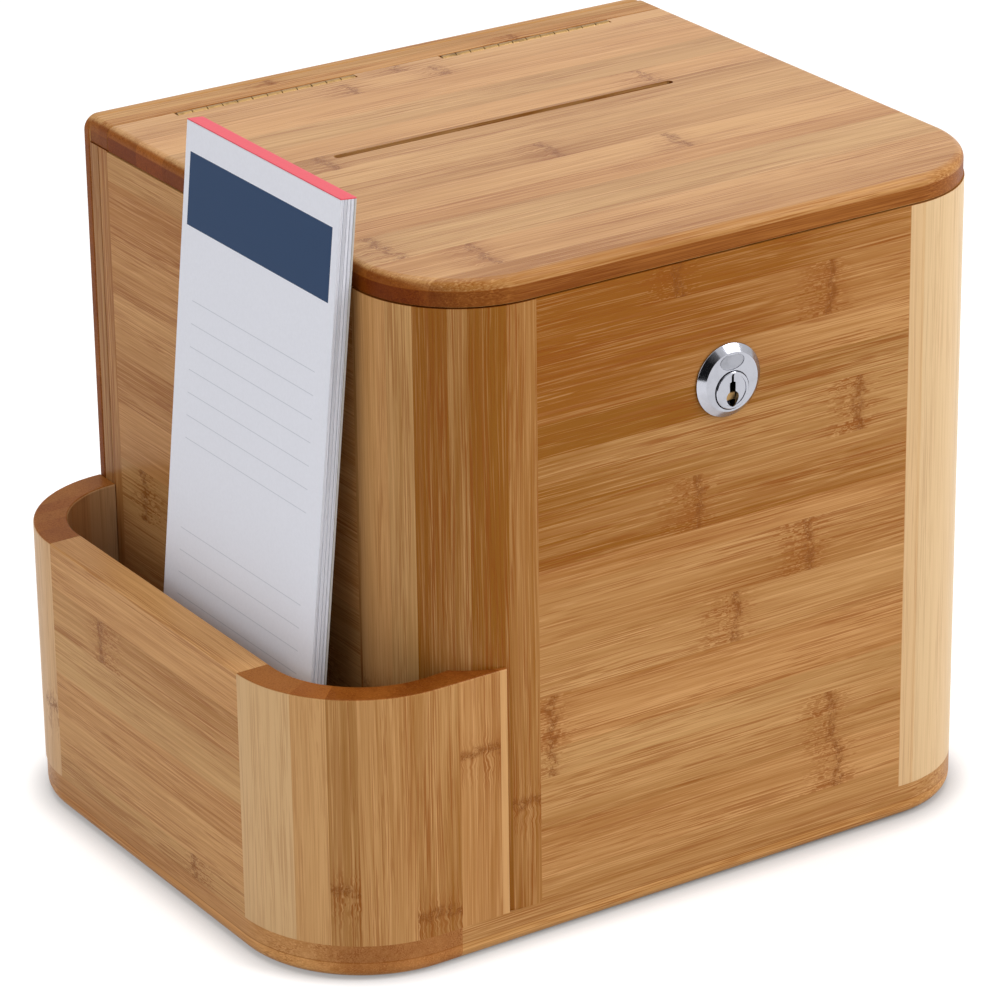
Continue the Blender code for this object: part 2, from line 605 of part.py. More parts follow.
def make_lock_plug(holder, chrome, steel):
    """The turning plug with its keyway and square tail, the cam on the tail and the screw that holds it."""
    at = (BODY_MIDDLE, FRONT, PLUG_Z)
    face = -FACE_HEIGHT - PLUG_PROUD
    profile = [
        (PLUG_RADIUS - PLUG_CHAMFER, face),
        (PLUG_RADIUS, face + PLUG_CHAMFER),
        (PLUG_RADIUS, BARREL_LENGTH),
    ]
    bm = bmesh.new()
    add_turned(bm, at, "Y", profile, ROUND_STEPS)
    plug = place("lock_plug", bm, holder, chrome, smooth=True)
    half = TAIL_SIZE / 2
    bm = bmesh.new()
    low = (BODY_MIDDLE - half, BARREL_END - OVERRUN, PLUG_Z - half)
    add_block(bm, low, (BODY_MIDDLE + half, CAM_BACK - FIT_GAP, PLUG_Z + half))
    tail = as_cutter(place("plug_tail", bm, holder))
    join = plug.modifiers.new("tail", "BOOLEAN")
    join.operation = "UNION"
    join.solver = "EXACT"
    join.object = tail

    right_side = [(PLUG_RADIUS * wide, PLUG_RADIUS * high) for wide, high in KEYWAY_SHARES]
    outline = right_side + [(-x, z) for x, z in reversed(right_side)]
    start, end = FRONT + face - OVERRUN, FRONT + face + KEYWAY_DEPTH
    bm = bmesh.new()
    add_loft(bm, [[(BODY_MIDDLE + x, y, PLUG_Z + z) for x, z in outline] for y in (start, end)])
    keyway = as_cutter(place("keyway_cutter", bm, holder))
    bm = bmesh.new()
    hole = CAM_SCREW_RADIUS + FIT_GAP
    depth = CAM_SCREW_LENGTH + FIT_GAP
    add_turned(bm, (BODY_MIDDLE, CAM_BACK, PLUG_Z), "Y", [(hole, -depth), (hole, OVERRUN)], SMALL_STEPS)
    cut(plug, keyway, as_cutter(place("tail_hole_cutter", bm, holder)))

    cam_hole = TAIL_SIZE / 2 + FIT_GAP
    hub = math.hypot(cam_hole, cam_hole) + CAM_HUB_WALL
    half = CAM_WIDTH / 2
    shoulder = math.degrees(math.acos(half / hub))
    tip = CAM_LENGTH
    outline = arc(0, 0, hub, hub, 180 - shoulder, 360 + shoulder, CORNER_STEPS * 2)
    outline += [(half, tip - CAM_CHAMFER), (half - CAM_CHAMFER, tip)]
    outline += [(CAM_CHAMFER - half, tip), (-half, tip - CAM_CHAMFER)]
    bm = bmesh.new()
    add_loft(bm, [[(BODY_MIDDLE + x, y, PLUG_Z + z) for x, z in outline] for y in (CAM_FRONT, CAM_BACK)])
    cam = place("lock_cam", bm, holder, steel)
    bm = bmesh.new()
    low = (BODY_MIDDLE - cam_hole, CAM_FRONT - OVERRUN, PLUG_Z - cam_hole)
    add_block(bm, low, (BODY_MIDDLE + cam_hole, CAM_BACK + OVERRUN, PLUG_Z + cam_hole))
    cut(cam, as_cutter(place("cam_hole_cutter", bm, holder)))

    bm = bmesh.new()
    head = cam_hole + CAM_SCREW_BEARING
    profile = screw_profile(CAM_SCREW_RADIUS, CAM_SCREW_LENGTH, head, CAM_SCREW_HEAD)
    add_turned(bm, (BODY_MIDDLE, CAM_BACK + FIT_GAP, PLUG_Z), "Y", flipped(profile), SMALL_STEPS)
    place("cam_screw", bm, holder, steel, smooth=True)


def bent_strip(corners, radius, thickness):
    """Outline of a strip bent along a line of corners in Y and Z, with its bends rounded."""
    line = [Vector(corners[0])]
    for before, corner, after in zip(corners, corners[1:], corners[2:]):
        into = (Vector(corner) - Vector(before)).normalized()
        out = (Vector(after) - Vector(corner)).normalized()
        start, end = Vector(corner) - into * radius, Vector(corner) + out * radius
        for i in range(EDGE_STEPS + 1):
            share = i / EDGE_STEPS
            line.append(start.lerp(Vector(corner), share).lerp(Vector(corner).lerp(end, share), share))
    line.append(Vector(corners[-1]))
    sides = ([], [])
    for i, point in enumerate(line):
        ahead = line[min(i + 1, len(line) - 1)] - line[max(i - 1, 0)]
        normal = Vector((-ahead.y, ahead.x)).normalized() * thickness / 2
        sides[0].append(point + normal)
        sides[1].append(point - normal)
    return sides[0] + sides[1][::-1]


def make_keeper(holder, steel):
    """The bracket that hangs under the lid behind the cam, with a lip that the turned cam lies over."""
    half = KEEPER_THICKNESS / 2
    strap_y = CAM_BACK + KEEPER_REAR_GAP + half
    lip_y = CAM_FRONT - FIT_GAP
    lip_z = PLUG_Z - CAM_WIDTH / 2 - KEEPER_CAM_GAP - half
    flange_z = LID_UNDERSIDE - FIT_GAP - half
    corners = [(lip_y, lip_z), (strap_y, lip_z), (strap_y, flange_z), (strap_y + KEEPER_FLANGE, flange_z)]
    outline = bent_strip(corners, KEEPER_BEND + half, KEEPER_THICKNESS)
    bm = bmesh.new()
    add_loft(bm, [[(x, y, z) for y, z in outline] for x in (KEEPER_LEFT, KEEPER_RIGHT)])
    bracket = place("keeper_bracket", bm, holder, steel)

    seat = flange_z - half - FIT_GAP
    screw = screw_profile(
        KEEPER_SCREW_RADIUS, KEEPER_SCREW_LENGTH, KEEPER_SCREW_HEAD_RADIUS, KEEPER_SCREW_HEAD
    )
    hole_radius = KEEPER_SCREW_RADIUS + FIT_GAP
    hole = [(hole_radius, -OVERRUN / 2), (hole_radius, KEEPER_SCREW_LENGTH + FIT_GAP)]
    holes = bmesh.new()
    for number, share in enumerate(KEEPER_SCREW_SHARES, 1):
        at = ((KEEPER_LEFT + KEEPER_RIGHT) / 2, strap_y + KEEPER_FLANGE * share, seat)
        bm = bmesh.new()
        add_turned(bm, at, "Z", screw, SMALL_STEPS)
        place(f"keeper_screw_{number}", bm, holder, steel, smooth=True)
        add_turned(holes, at, "Z", hole, SMALL_STEPS)
    pilot = as_cutter(place("keeper_pilot_cutter", holes, holder))
    cut(bracket, pilot)
    return pilot


def pad_foot():
    """Bottom front corner of the pad and its lean. The foot clears the pocket's curve, the top the lid."""
    inner = POCKET_INNER_RADIUS
    near_end = PAD_MIDDLE - PAD_WIDTH / 2
    into_corner = max(FRONT + POCKET_FRONT_WALL + inner - near_end, 0.0)
    curve = inner - math.sqrt(max(inner**2 - into_corner**2, 0.0))
    foot_x = LEFT + POCKET_SIDE_WALL + curve + PAD_GAP
    reach = BODY_LEFT - PAD_GAP - foot_x
    lean = math.asin(reach / math.hypot(PAD_THICKNESS, PAD_LENGTH)) - math.atan(PAD_THICKNESS / PAD_LENGTH)
    foot_z = BASE_THICKNESS + PAD_GAP + PAD_THICKNESS * math.sin(lean)
    return foot_x, foot_z, lean


def make_pad(holder, paper, card, glue):
    """The pad in its own frame: X through its thickness, Z up its length."""
    low, high = PAD_MIDDLE - PAD_WIDTH / 2, PAD_MIDDLE + PAD_WIDTH / 2
    top = PAD_LENGTH - PAD_GLUE - PAD_GAP
    bundled = top - PAD_BOUND
    pitch = (PAD_THICKNESS - PAD_BACKING) / BUNDLE_COUNT
    outline = [(0, top), (0, 0)]
    for i in range(1, BUNDLE_COUNT):
        edge = pitch * i
        outline += [(edge - BUNDLE_GAP, 0), (edge - BUNDLE_GAP, bundled), (edge, bundled), (edge, 0)]
    edge = pitch * BUNDLE_COUNT - BUNDLE_GAP
    outline += [(edge, 0), (edge, top)]
    bm = bmesh.new()
    add_loft(bm, [[(x, y, z) for x, z in outline] for y in (low, high)])
    place("pad_sheets", bm, holder, paper, own_frame=True)
    bm = bmesh.new()
    add_block(bm, (PAD_THICKNESS - PAD_BACKING, low, 0), (PAD_THICKNESS, high, top))
    place("pad_backing", bm, holder, card, own_frame=True)
    bm = bmesh.new()
    add_block(bm, (0, low, PAD_LENGTH - PAD_GLUE), (PAD_THICKNESS, high, PAD_LENGTH))
    place("pad_glue_edge", bm, holder, glue, own_frame=True)


def main():
    clear_scene()
    bamboo = finish_material("bamboo", (0.56, 0.32, 0.12), 0.45)
    brass = finish_material("brass", (0.60, 0.42, 0.16), 0.35, 1.0)
    chrome = finish_material("chrome", (0.75, 0.76, 0.78), 0.12, 1.0)
    steel = finish_material("zinc_plated_steel", (0.55, 0.55, 0.53), 0.4, 1.0)
    paper = finish_material("paper", (0.80, 0.81, 0.86), 0.8)
    card = finish_material("backing_card", (0.55, 0.53, 0.50), 0.9)
    glue = finish_material("pad_glue", (0.80, 0.16, 0.18), 0.5)

    box = pivot("box_frame", (0.0, 0.0, 0.0))
    lid = pivot("lid_axis", (BODY_MIDDLE, HINGE_Y, HINGE_Z))
    plug = pivot("lock_axis", (BODY_MIDDLE, FRONT, PLUG_Z))
    foot_x, foot_z, lean = pad_foot()
    pad = pivot("pad_frame", (foot_x, 0.0, foot_z), lean)

    make_base(box, bamboo)
    make_front_post("front_left_post", -1, box, bamboo)
    make_front_post("front_right_post", 1, box, bamboo)
    make_walls(box, bamboo)
    make_pocket(box, bamboo)
    rail = make_rail(box, bamboo)
    lid_board = make_lid(lid, bamboo)
    for word, start in hinge_starts():
        rail_pilot, lid_pilot = make_hinge(word, start, box, lid, brass)
        cut(rail, rail_pilot)
        cut(lid_board, lid_pilot)
    make_lock_body(box, chrome)
    make_lock_plug(plug, chrome, steel)
    cut(lid_board, make_keeper(lid, steel))
    make_pad(pad, paper, card, glue)


main()
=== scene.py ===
"""Bamboo suggestion box: a hinged, slotted lid, a front cam lock and a side pocket with a pad of cards."""

import json
import math

import bmesh
import bpy
from bpy.props import FloatProperty, FloatVectorProperty, IntProperty, PointerProperty
from bpy.types import Operator, Panel, PropertyGroup
from mathutils import Matrix, Vector


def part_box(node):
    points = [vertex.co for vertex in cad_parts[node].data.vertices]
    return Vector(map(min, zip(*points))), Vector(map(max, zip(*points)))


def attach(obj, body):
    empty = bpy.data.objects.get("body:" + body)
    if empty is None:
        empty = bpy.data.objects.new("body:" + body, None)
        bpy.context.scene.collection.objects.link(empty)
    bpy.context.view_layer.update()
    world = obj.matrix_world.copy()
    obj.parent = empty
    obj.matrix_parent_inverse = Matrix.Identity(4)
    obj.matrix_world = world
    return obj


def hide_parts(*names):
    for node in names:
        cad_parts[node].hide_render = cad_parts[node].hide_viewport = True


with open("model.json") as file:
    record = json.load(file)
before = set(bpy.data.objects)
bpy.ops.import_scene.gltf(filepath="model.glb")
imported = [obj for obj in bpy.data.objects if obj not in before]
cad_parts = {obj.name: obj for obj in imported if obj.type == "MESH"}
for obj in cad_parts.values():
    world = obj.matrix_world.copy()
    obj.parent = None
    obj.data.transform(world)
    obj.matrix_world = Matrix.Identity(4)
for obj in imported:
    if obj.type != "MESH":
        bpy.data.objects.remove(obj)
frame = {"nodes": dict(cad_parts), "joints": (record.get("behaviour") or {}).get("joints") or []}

bl_info = {
    "name": "Suggestion Box",
    "version": (1, 0, 0),
    "blender": (4, 5, 0),
    "location": "View3D > Sidebar > Box",
    "description": "Builds a bamboo suggestion box with its lid, lock, hinges, pocket and pad of cards",
    "category": "Add Mesh",
}

BODY_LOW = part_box("front_left_post")[0]
BASE_LOW, BASE_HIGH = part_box("base_board")
PANEL_LOW, PANEL_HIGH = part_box("front_panel")
WALL = PANEL_HIGH.y - PANEL_LOW.y
BACK_LOW, BACK_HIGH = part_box("back_board")
RAIL_LOW, RAIL_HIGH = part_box("top_rail")
LID_LOW, LID_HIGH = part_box("lid_panel")
POCKET_LOW, POCKET_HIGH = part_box("pocket_front_corner")
POCKET_SIDE_LOW, POCKET_SIDE_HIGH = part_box("pocket_left_panel")
POCKET_REAR_LOW, POCKET_REAR_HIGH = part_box("pocket_rear_corner")
LEFT_LEAF_LOW, LEFT_LEAF_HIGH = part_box("left_hinge_rail_leaf")
RIGHT_LEAF_LOW, RIGHT_LEAF_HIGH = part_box("right_hinge_rail_leaf")
LOCK_LOW, LOCK_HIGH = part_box("lock_body")
PLUG_LOW, PLUG_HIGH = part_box("lock_plug")


# Values for the panel


def a_length(name, description, default, precision=4):
    """A length in metres."""
    return FloatProperty(
        name=name, description=description, default=default, unit="LENGTH", precision=precision)


def a_colour(name, description, *default):
    """A colour, as red, green and blue."""
    return FloatVectorProperty(
        name=name, description=description, default=default, subtype="COLOR", size=3, min=0, max=1)


def a_power(name, description, default):
    """A lamp's power in watts."""
    return FloatProperty(name=name, description=description, default=default, unit="POWER")


def an_angle(name, description, degrees):
    """An angle, with its default in degrees."""
    return FloatProperty(name=name, description=description, default=math.radians(degrees), unit="ROTATION")


class BoxSizes(PropertyGroup):
    corner_radius: a_length("Corner radius", "Outer radius of the box's front posts", 0.036)
    base_round: a_length("Base rounding", "Rounding along the base board's lower edge", 0.004)
    lid_round: a_length("Lid rounding", "Rounding along the lid's upper edge", 0.003)
    lid_rear_round: a_length("Lid rear rounding", "Small rounding along the lid's hinged edge", 0.0009)
    eased_edge: a_length("Eased edge", "Small rounding that sawn edges take a share of", 0.0005, precision=5)
    slot_length: a_length("Slot length", "Length of the card slot", 0.128)
    slot_width: a_length("Slot width", "Width of the card slot", 0.0028)
    slot_setback: a_length("Slot setback", "From the back of the box to the middle of the slot", 0.0814)
    rim_round: a_length("Rim rounding", "Rounding along the pocket's rim", 0.0007)
    round_steps: IntProperty(
        name="Corner steps", description="Steps around a large corner", default=32, min=4)


class BambooLook(PropertyGroup):
    light: a_colour("Light wood", "Pale bamboo between the fibres", 0.605, 0.326, 0.134)
    # The palest colour is partly pale straw bamboo and partly a painted sheen, paler and less orange, for
    # rounded staves that catch reflections at grazing angles
    pale: a_colour("Palest wood", "Straw colour of the palest staves", 0.690, 0.465, 0.268)
    middle: a_colour("Middle wood", "Main honey colour of the bamboo", 0.280, 0.094, 0.008)
    dark: a_colour("Fibre", "Reddish brown fibres along the grain", 0.250, 0.066, 0.004)
    knot: a_colour("Node mark", "Brown band where a bamboo node crosses a strip", 0.215, 0.060, 0.005)
    roughness: FloatProperty(
        name="Roughness", description="Roughness of the satin lacquer", default=0.36, subtype="FACTOR", min=0,
        max=1)
    relief: a_length("Grain relief", "Depth of the grain's relief", 0.00008, precision=6)


class MetalLook(PropertyGroup):
    brass: a_colour("Brass", "Colour of the hinges", 0.37, 0.225, 0.09)
    chrome: a_colour("Chrome", "Colour of the lock's plating", 0.40, 0.405, 0.445)
    zinc: a_colour("Zinc", "Colour of the cam and its keeper", 0.56, 0.56, 0.54)


class PadLook(PropertyGroup):
    paper: a_colour("Paper", "Colour of the cards", 0.80, 0.81, 0.88)
    header: a_colour("Header", "Printed band at the head of each card", 0.013, 0.042, 0.108)
    rule: a_colour("Rule", "Printed ruled lines", 0.60, 0.62, 0.69)
    glue: a_colour("Glue", "Padding glue along the head", 0.74, 0.095, 0.125)
    board: a_colour("Backing", "Grey board behind the cards", 0.50, 0.48, 0.45)


class StageLook(PropertyGroup):
    lens: FloatProperty(name="Lens", description="Focal length of the camera", default=173.8, unit="CAMERA")
    place: FloatVectorProperty(
        name="Camera place", description="Where the camera stands", default=(-0.77329, -1.19241, 0.71269),
        subtype="XYZ", size=3, unit="LENGTH")
    azimuth: an_angle("Azimuth", "Turn of the view to the right of straight back", 33.051)
    elevation: an_angle("Elevation", "How far the camera looks down", 23.359)
    roll: an_angle("Roll", "Turn of the camera about its view", -0.763)
    key: a_power("Key light", "Power of the large light at the right", 22.0)
    fill: a_power("Fill light", "Power of the light at the left", 5.0)
    top: a_power("Top light", "Power of the light overhead", 9.0)
    world: FloatProperty(name="Room light", description="Strength of the light all round", default=0.5, min=0)


# Modelling by hand


def deselect():
    """Leaves nothing selected."""
    bpy.ops.object.select_all(action="DESELECT")


def only(piece):
    """Selects one piece and makes it the active one."""
    deselect()
    piece.select_set(True)
    bpy.context.view_layer.objects.active = piece


def settle():
    """Fixes the selected piece's place, turn and size in its mesh."""
    bpy.ops.object.transform_apply(location=True, rotation=True, scale=True)


def named(name):
    """Names the piece just added and settles it."""
    piece = bpy.context.object
    piece.name = piece.data.name = name
    settle()
    return piece


def placed(piece, **changes):
    """Scales, turns or moves a piece and settles it."""
    only(piece)
    for name, value in changes.items():
        setattr(piece, name, value)
    settle()
    return piece


def add_block(name, low, high):
    """A straight block between two corners."""
    low, high = Vector(low), Vector(high)
    deselect()
    bpy.ops.mesh.primitive_cube_add(size=1, location=(low + high) / 2, scale=high - low)
    return named(name)


def add_rod(name, start, radius, length, axis="Y", steps=128):
    """A round bar along Y or Z from the middle of its first end."""
    turn, along = {"Y": ((-math.pi / 2, 0, 0), (0, 1, 0)), "Z": ((0, 0, 0), (0, 0, 1))}[axis]
    deselect()
    bpy.ops.mesh.primitive_cylinder_add(
        vertices=steps, radius=radius, depth=length, location=Vector(start) + Vector(along) * length / 2,
        rotation=turn)
    return named(name)


def pick(piece, kind, test):
    """Enters edit mode with only the faces or edges that pass a test selected."""
    only(piece)
    bpy.ops.object.mode_set(mode="EDIT")
    bpy.ops.mesh.select_mode(type="FACE" if kind == "faces" else "EDGE")
    bpy.ops.mesh.select_all(action="DESELECT")
    shape = bmesh.from_edit_mesh(piece.data)
    shape.normal_update()
    found = [part for part in getattr(shape, kind) if test(part)]
    for part in found:
        part.select_set(True)
    shape.select_flush_mode()
    bmesh.update_edit_mesh(piece.data)
    if not found:
        raise RuntimeError(f"nothing on {piece.name} passed the test")


def done():
    """Leaves edit mode."""
    bpy.ops.object.mode_set(mode="OBJECT")


def close_up():
    """Merges the doubles of the mesh in edit mode, turns its faces outwards and leaves edit mode."""
    bpy.ops.mesh.select_all(action="SELECT")
    bpy.ops.mesh.remove_doubles(threshold=0.000001)
    bpy.ops.mesh.normals_make_consistent(inside=False)
    done()


def extrude(x=0, y=0, z=0):
    """Extrudes what is selected by a way."""
    bpy.ops.mesh.extrude_region_move(TRANSFORM_OT_translate={"value": (x, y, z)})


def near(a, b, within=0.00002):
    """Whether two measures are the same but for rounding."""
    return abs(a - b) < within


def both_at(**places):
    """Test for two points that both lie at a place on each axis named."""
    return lambda a, b: all(
        near(getattr(point, axis), place) for point in (a, b) for axis, place in places.items())


def edge_at(**places):
    """Test for an edge with both ends at a place on each axis named."""
    at = both_at(**places)
    return lambda edge: at(*(vertex.co for vertex in edge.verts))


def rim_at(axis, place, but_not=lambda a, b: False):
    """Test for the sharp edges that lie at a place on an axis, but for those whose ends pass another test."""
    at = edge_at(**{axis: place})
    return lambda edge: (
        at(edge) and edge.calc_face_angle(0) > 1 and not but_not(*(vertex.co for vertex in edge.verts)))


def round_edges(piece, test, radius, steps):
    """Rounds over the edges that pass a test."""
    pick(piece, "edges", test)
    bpy.ops.mesh.bevel(offset=radius, segments=steps, affect="EDGES", clamp_overlap=False)
    done()


def apply_new(piece, name, kind, **settings):
    """Adds a modifier to a piece and applies it."""
    only(piece)
    modifier = piece.modifiers.new(name, kind)
    for setting, value in settings.items():
        setattr(modifier, setting, value)
    bpy.ops.object.modifier_apply(modifier=modifier.name)


def ease(piece, width, angle=60, steps=2):
    """Breaks the sharp edges of a finished shape."""
    apply_new(
        piece, "eased edges", "BEVEL", width=width, segments=steps, limit_method="ANGLE",
        angle_limit=math.radians(angle), use_clamp_overlap=True)


def cut_away(piece, *cutters, join=False):
    """Cuts each cutter out of a piece, or joins it on, and removes the cutter."""
    for cutter in cutters:
        operation = "UNION" if join else "DIFFERENCE"
        apply_new(piece, "cut", "BOOLEAN", operation=operation, solver="EXACT", object=cutter)
        bpy.data.objects.remove(cutter)


def dress(data, material):
    """Gives a mesh one material in place of those it has."""
    data.materials.clear()
    data.materials.append(material)


def dress_solids(names, material):
    """Gives CAD solids that stay in sight their material."""
    for name in names:
        dress(frame["nodes"][name].data, material)


def finish_piece(piece, body, slot, material, *nodes, angle=32):
    """Smooths a piece, gives it its material and joins it to its body in place of its plain solids."""
    only(piece)
    bpy.ops.object.shade_smooth_by_angle(angle=math.radians(angle))
    apply_new(piece, "even normals", "WEIGHTED_NORMAL", keep_sharp=True)
    dress(piece.data, material)
    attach(piece, body)
    if nodes:
        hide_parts(*nodes)
    deselect()


# Materials


class Wiring:
    """Short ways to add nodes to one tree and join them."""

    def __init__(self, tree):
        self.tree = tree

    def feed(self, socket, value):
        """Joins an output to a socket, or sets the socket to a value."""
        if isinstance(value, bpy.types.NodeSocket):
            self.tree.links.new(value, socket)
        elif value is not None:
            socket.default_value = (*value[:3], 1) if socket.type == "RGBA" else value

    def feed_all(self, sockets, values):
        """Feeds sockets by their labels."""
        for label, value in values.items():
            self.feed(sockets[label], value)

    def node(self, kind, *values, **settings):
        """A new node with its settings, and its first inputs fed."""
        node = self.tree.nodes.new("ShaderNode" + kind)
        for name, value in settings.items():
            setattr(node, name, value)
        for socket, value in zip(node.inputs, values):
            self.feed(socket, value)
        return node

    def math(self, operation, *values, clamp=False):
        return self.node("Math", *values, operation=operation, use_clamp=clamp).outputs[0]

    def plus(self, a, b, clamp=False):
        return self.math("ADD", a, b, clamp=clamp)

    def minus(self, a, b):
        return self.math("SUBTRACT", a, b)

    def times(self, a, b, clamp=False):
        return self.math("MULTIPLY", a, b, clamp=clamp)

    def size(self, value):
        return self.math("ABSOLUTE", value)

    def greatest(self, a, b):
        return self.math("MAXIMUM", a, b)

    def split(self, vector):
        return self.node("SeparateXYZ", vector).outputs

    def join(self, x, y, z):
        return self.node("CombineXYZ", x, y, z).outputs[0]

    def noise(self, place, *stretch, detail=2, roughness=0.5):
        """Noise over a place, stretched or packed along each axis."""
        if stretch:
            place = self.node("VectorMath", place, stretch, operation="MULTIPLY").outputs[0]
        node = self.node("TexNoise", place)
        self.feed_all(node.inputs, {"Scale": 1, "Detail": detail, "Roughness": roughness})
        return node.outputs["Fac"]

    def step(self, value, low, high, to_low=0, to_high=1, smooth=True):
        """Takes a value from one range to another, and holds it there."""
        way = "SMOOTHSTEP" if smooth else "LINEAR"
        return self.node("MapRange", value, low, high, to_low, to_high, interpolation_type=way).outputs[0]

    def blend(self, share, a, b, kind="MIX"):
        node = self.node("Mix", share, data_type="RGBA", blend_type=kind)
        self.feed_all(node.inputs, {6: a, 7: b})
        return node.outputs[2]

    def group(self, group, **values):
        node = self.node("Group", node_tree=group)
        self.feed_all(node.inputs, {label.replace("_", " ").capitalize(): values[label] for label in values})
        return node.outputs

    def bump(self, height, distance):
        node = self.node("Bump")
        self.feed_all(node.inputs, {"Strength": 1, "Distance": distance, "Height": height})
        return node.outputs[0]


def shared_group(name, inputs, outputs, fill):
    """A node group that materials share, made and filled the first time that one asks for it."""
    group = bpy.data.node_groups.get(name)
    if group:
        return group
    group = bpy.data.node_groups.new(name, "ShaderNodeTree")
    for way, sockets in (("INPUT", inputs), ("OUTPUT", outputs)):
        for label, kind in sockets.items():
            group.interface.new_socket(name=label, in_out=way, socket_type="NodeSocket" + kind)
    start, end = group.nodes.new("NodeGroupInput"), group.nodes.new("NodeGroupOutput")
    w = Wiring(group)
    w.feed_all(end.inputs, fill(w, start.outputs))
    return group


def new_material(name):
    """A new material, the wiring of its tree, its shader's inputs and its texture coordinates."""
    made = bpy.data.materials.new(name)
    made.use_nodes = True
    w = Wiring(made.node_tree)
    return made, w, made.node_tree.nodes["Principled BSDF"].inputs, w.node("TexCoord").outputs


# Bamboo: sizes of its node marks along the board and of its fibres' sideways wander, in metres

MARK_WANDER = 0.0075
MARK_CORE, MARK_EDGE = 0.0006, 0.0029
HALO_SHIFT, HALO_REACH = 0.0030, 0.0140
FIBRE_DRIFT, FIBRE_RIPPLE = 0.0030, 0.0026


def node_marks(w, grain, share, span, spots):
    """Bands at a strip's two node marks, which lie at spots along the board, and wider halos round them."""
    wander = w.times(w.minus(w.noise(grain, 90, 230, 230), 0.5), MARK_WANDER)
    bands, halos = [], []
    for spot in spots:
        gap = w.plus(w.times(w.minus(share, spot), span), wander)
        there = w.math("GREATER_THAN", spot, 0.02)
        bands.append(w.times(there, w.step(w.size(gap), MARK_CORE, MARK_EDGE, 1, 0)))
        halos.append(w.times(there, w.step(w.size(w.plus(gap, HALO_SHIFT)), 0, HALO_REACH, 1, 0)))
    return w.greatest(*bands), w.greatest(*halos)


def fill_bamboo(w, take):
    """Builds the ground, the fibres, the node marks and the end grain up in turn."""
    tone, first, second = w.node("SeparateColor", take["Strip"]).outputs
    along, across, through = w.split(take["Grain"])
    share = w.math("DIVIDE", w.minus(along, take["Low"]), take["Span"])
    paler = w.plus(tone, w.times(w.minus(take["Slope"], 0.5), w.minus(share, 0.5)))
    band, halo = node_marks(w, take["Grain"], share, take["Span"], (first, second))

    # Fibres: fine lines and short dashes, gathered in clusters, that waver where a node mark lies
    apart = w.times(w.plus(tone, w.times(first, 3.1)), 17)
    sway = w.times(w.minus(w.noise(take["Grain"], 11, 90, 90, detail=1), 0.5), FIBRE_DRIFT)
    ripple = w.minus(w.noise(take["Grain"], 330, 300, 300, detail=1), 0.5)
    wave = w.times(w.times(ripple, halo), FIBRE_RIPPLE)
    across = w.plus(across, w.plus(sway, wave))
    place = w.join(w.plus(along, apart), w.plus(across, apart), through)
    lines = w.noise(place, 24, 2300, 2300, roughness=0.6)
    dashes = w.noise(place, 85, 2500, 2500, detail=1)
    bars = w.noise(place, 10, 700, 700, roughness=0.6)
    groups = w.noise(place, 12, 170, 170, roughness=0.55)
    broad = w.noise(place, 7, 50, 50, detail=1)

    # Ground colour of each strip, with its own slight cast
    ground = w.plus(w.times(paler, 1.9), -0.33)
    ground = w.plus(ground, w.times(w.minus(broad, 0.5), 0.9))
    ground = w.plus(ground, w.times(w.minus(bars, 0.5), 1.2), clamp=True)
    # The highest tones take the palest colour: partly pale bamboo, partly a painted sheen on rounded staves
    palest = w.step(tone, 0.66, 0.92)
    made = w.blend(palest, w.blend(ground, take["Middle"], take["Light"]), take["Pale"])
    cast = w.blend(w.math("FRACT", w.times(tone, 23.3)), (1.0, 0.96, 0.88), (0.93, 1.0, 0.96))
    made = w.blend(1, made, cast, "MULTIPLY")

    # Pale threads and dark reddish lines
    thread = w.times(w.step(lines, 0.45, 0.33, 0, 0.50), w.step(tone, 0.1, 0.6, 0.5, 1))
    made = w.blend(thread, made, w.blend(palest, take["Light"], take["Pale"]))
    mixed = w.plus(w.times(lines, 0.60), w.times(bars, 0.40))
    dash = w.times(w.step(dashes, 0.55, 0.66, 0, 0.6), w.step(groups, 0.42, 0.60))
    strong = w.times(w.step(groups, 0.34, 0.60, 0.34, 1), w.step(tone, 0.15, 0.95, 1, 0.26))
    line = w.times(w.greatest(w.step(mixed, 0.500, 0.580), dash), strong, clamp=True)
    made = w.blend(w.times(line, 0.90), made, take["Dark"])

    # Node marks: a brown shadow of wavy fibres, then soft flecks and a few curled ones
    shadow = w.times(halo, w.step(mixed, 0.43, 0.56, 0.05, 0.62))
    made = w.blend(w.times(shadow, w.step(tone, 0.3, 0.95, 1, 0.5)), made, take["Dark"])
    flecks = w.noise(take["Grain"], 700, 520, 520, roughness=0.6)
    curls = w.step(w.size(w.minus(flecks, 0.5)), 0, 0.045, 1, 0)
    marks = w.greatest(w.times(curls, 0.85), w.step(flecks, 0.48, 0.64, 0.12, 0.72))
    made = w.blend(w.times(band, marks), made, take["Knot"])

    # End grain: fine dots on a duller and redder ground
    dots = w.noise(place, 1500, 1700, 1700, detail=1)
    duller = w.blend(broad, (0.41, 0.205, 0.078), (0.68, 0.415, 0.175))
    cut = w.blend(w.step(dots, 0.42, 0.66, 0, 0.45), w.blend(1, made, duller, "MULTIPLY"), take["Knot"])
    rough = w.math("MULTIPLY_ADD", lines, 0.14, bpy.context.scene.bamboo_look.roughness - 0.07)
    height = w.math("MULTIPLY_ADD", lines, 0.6, w.times(line, -0.35))
    return {
        "Color": w.blend(take["End grain"], made, cut),
        "Roughness": w.math("MULTIPLY_ADD", take["End grain"], 0.12, rough),
        "Height": w.minus(height, w.times(band, curls)),
    }


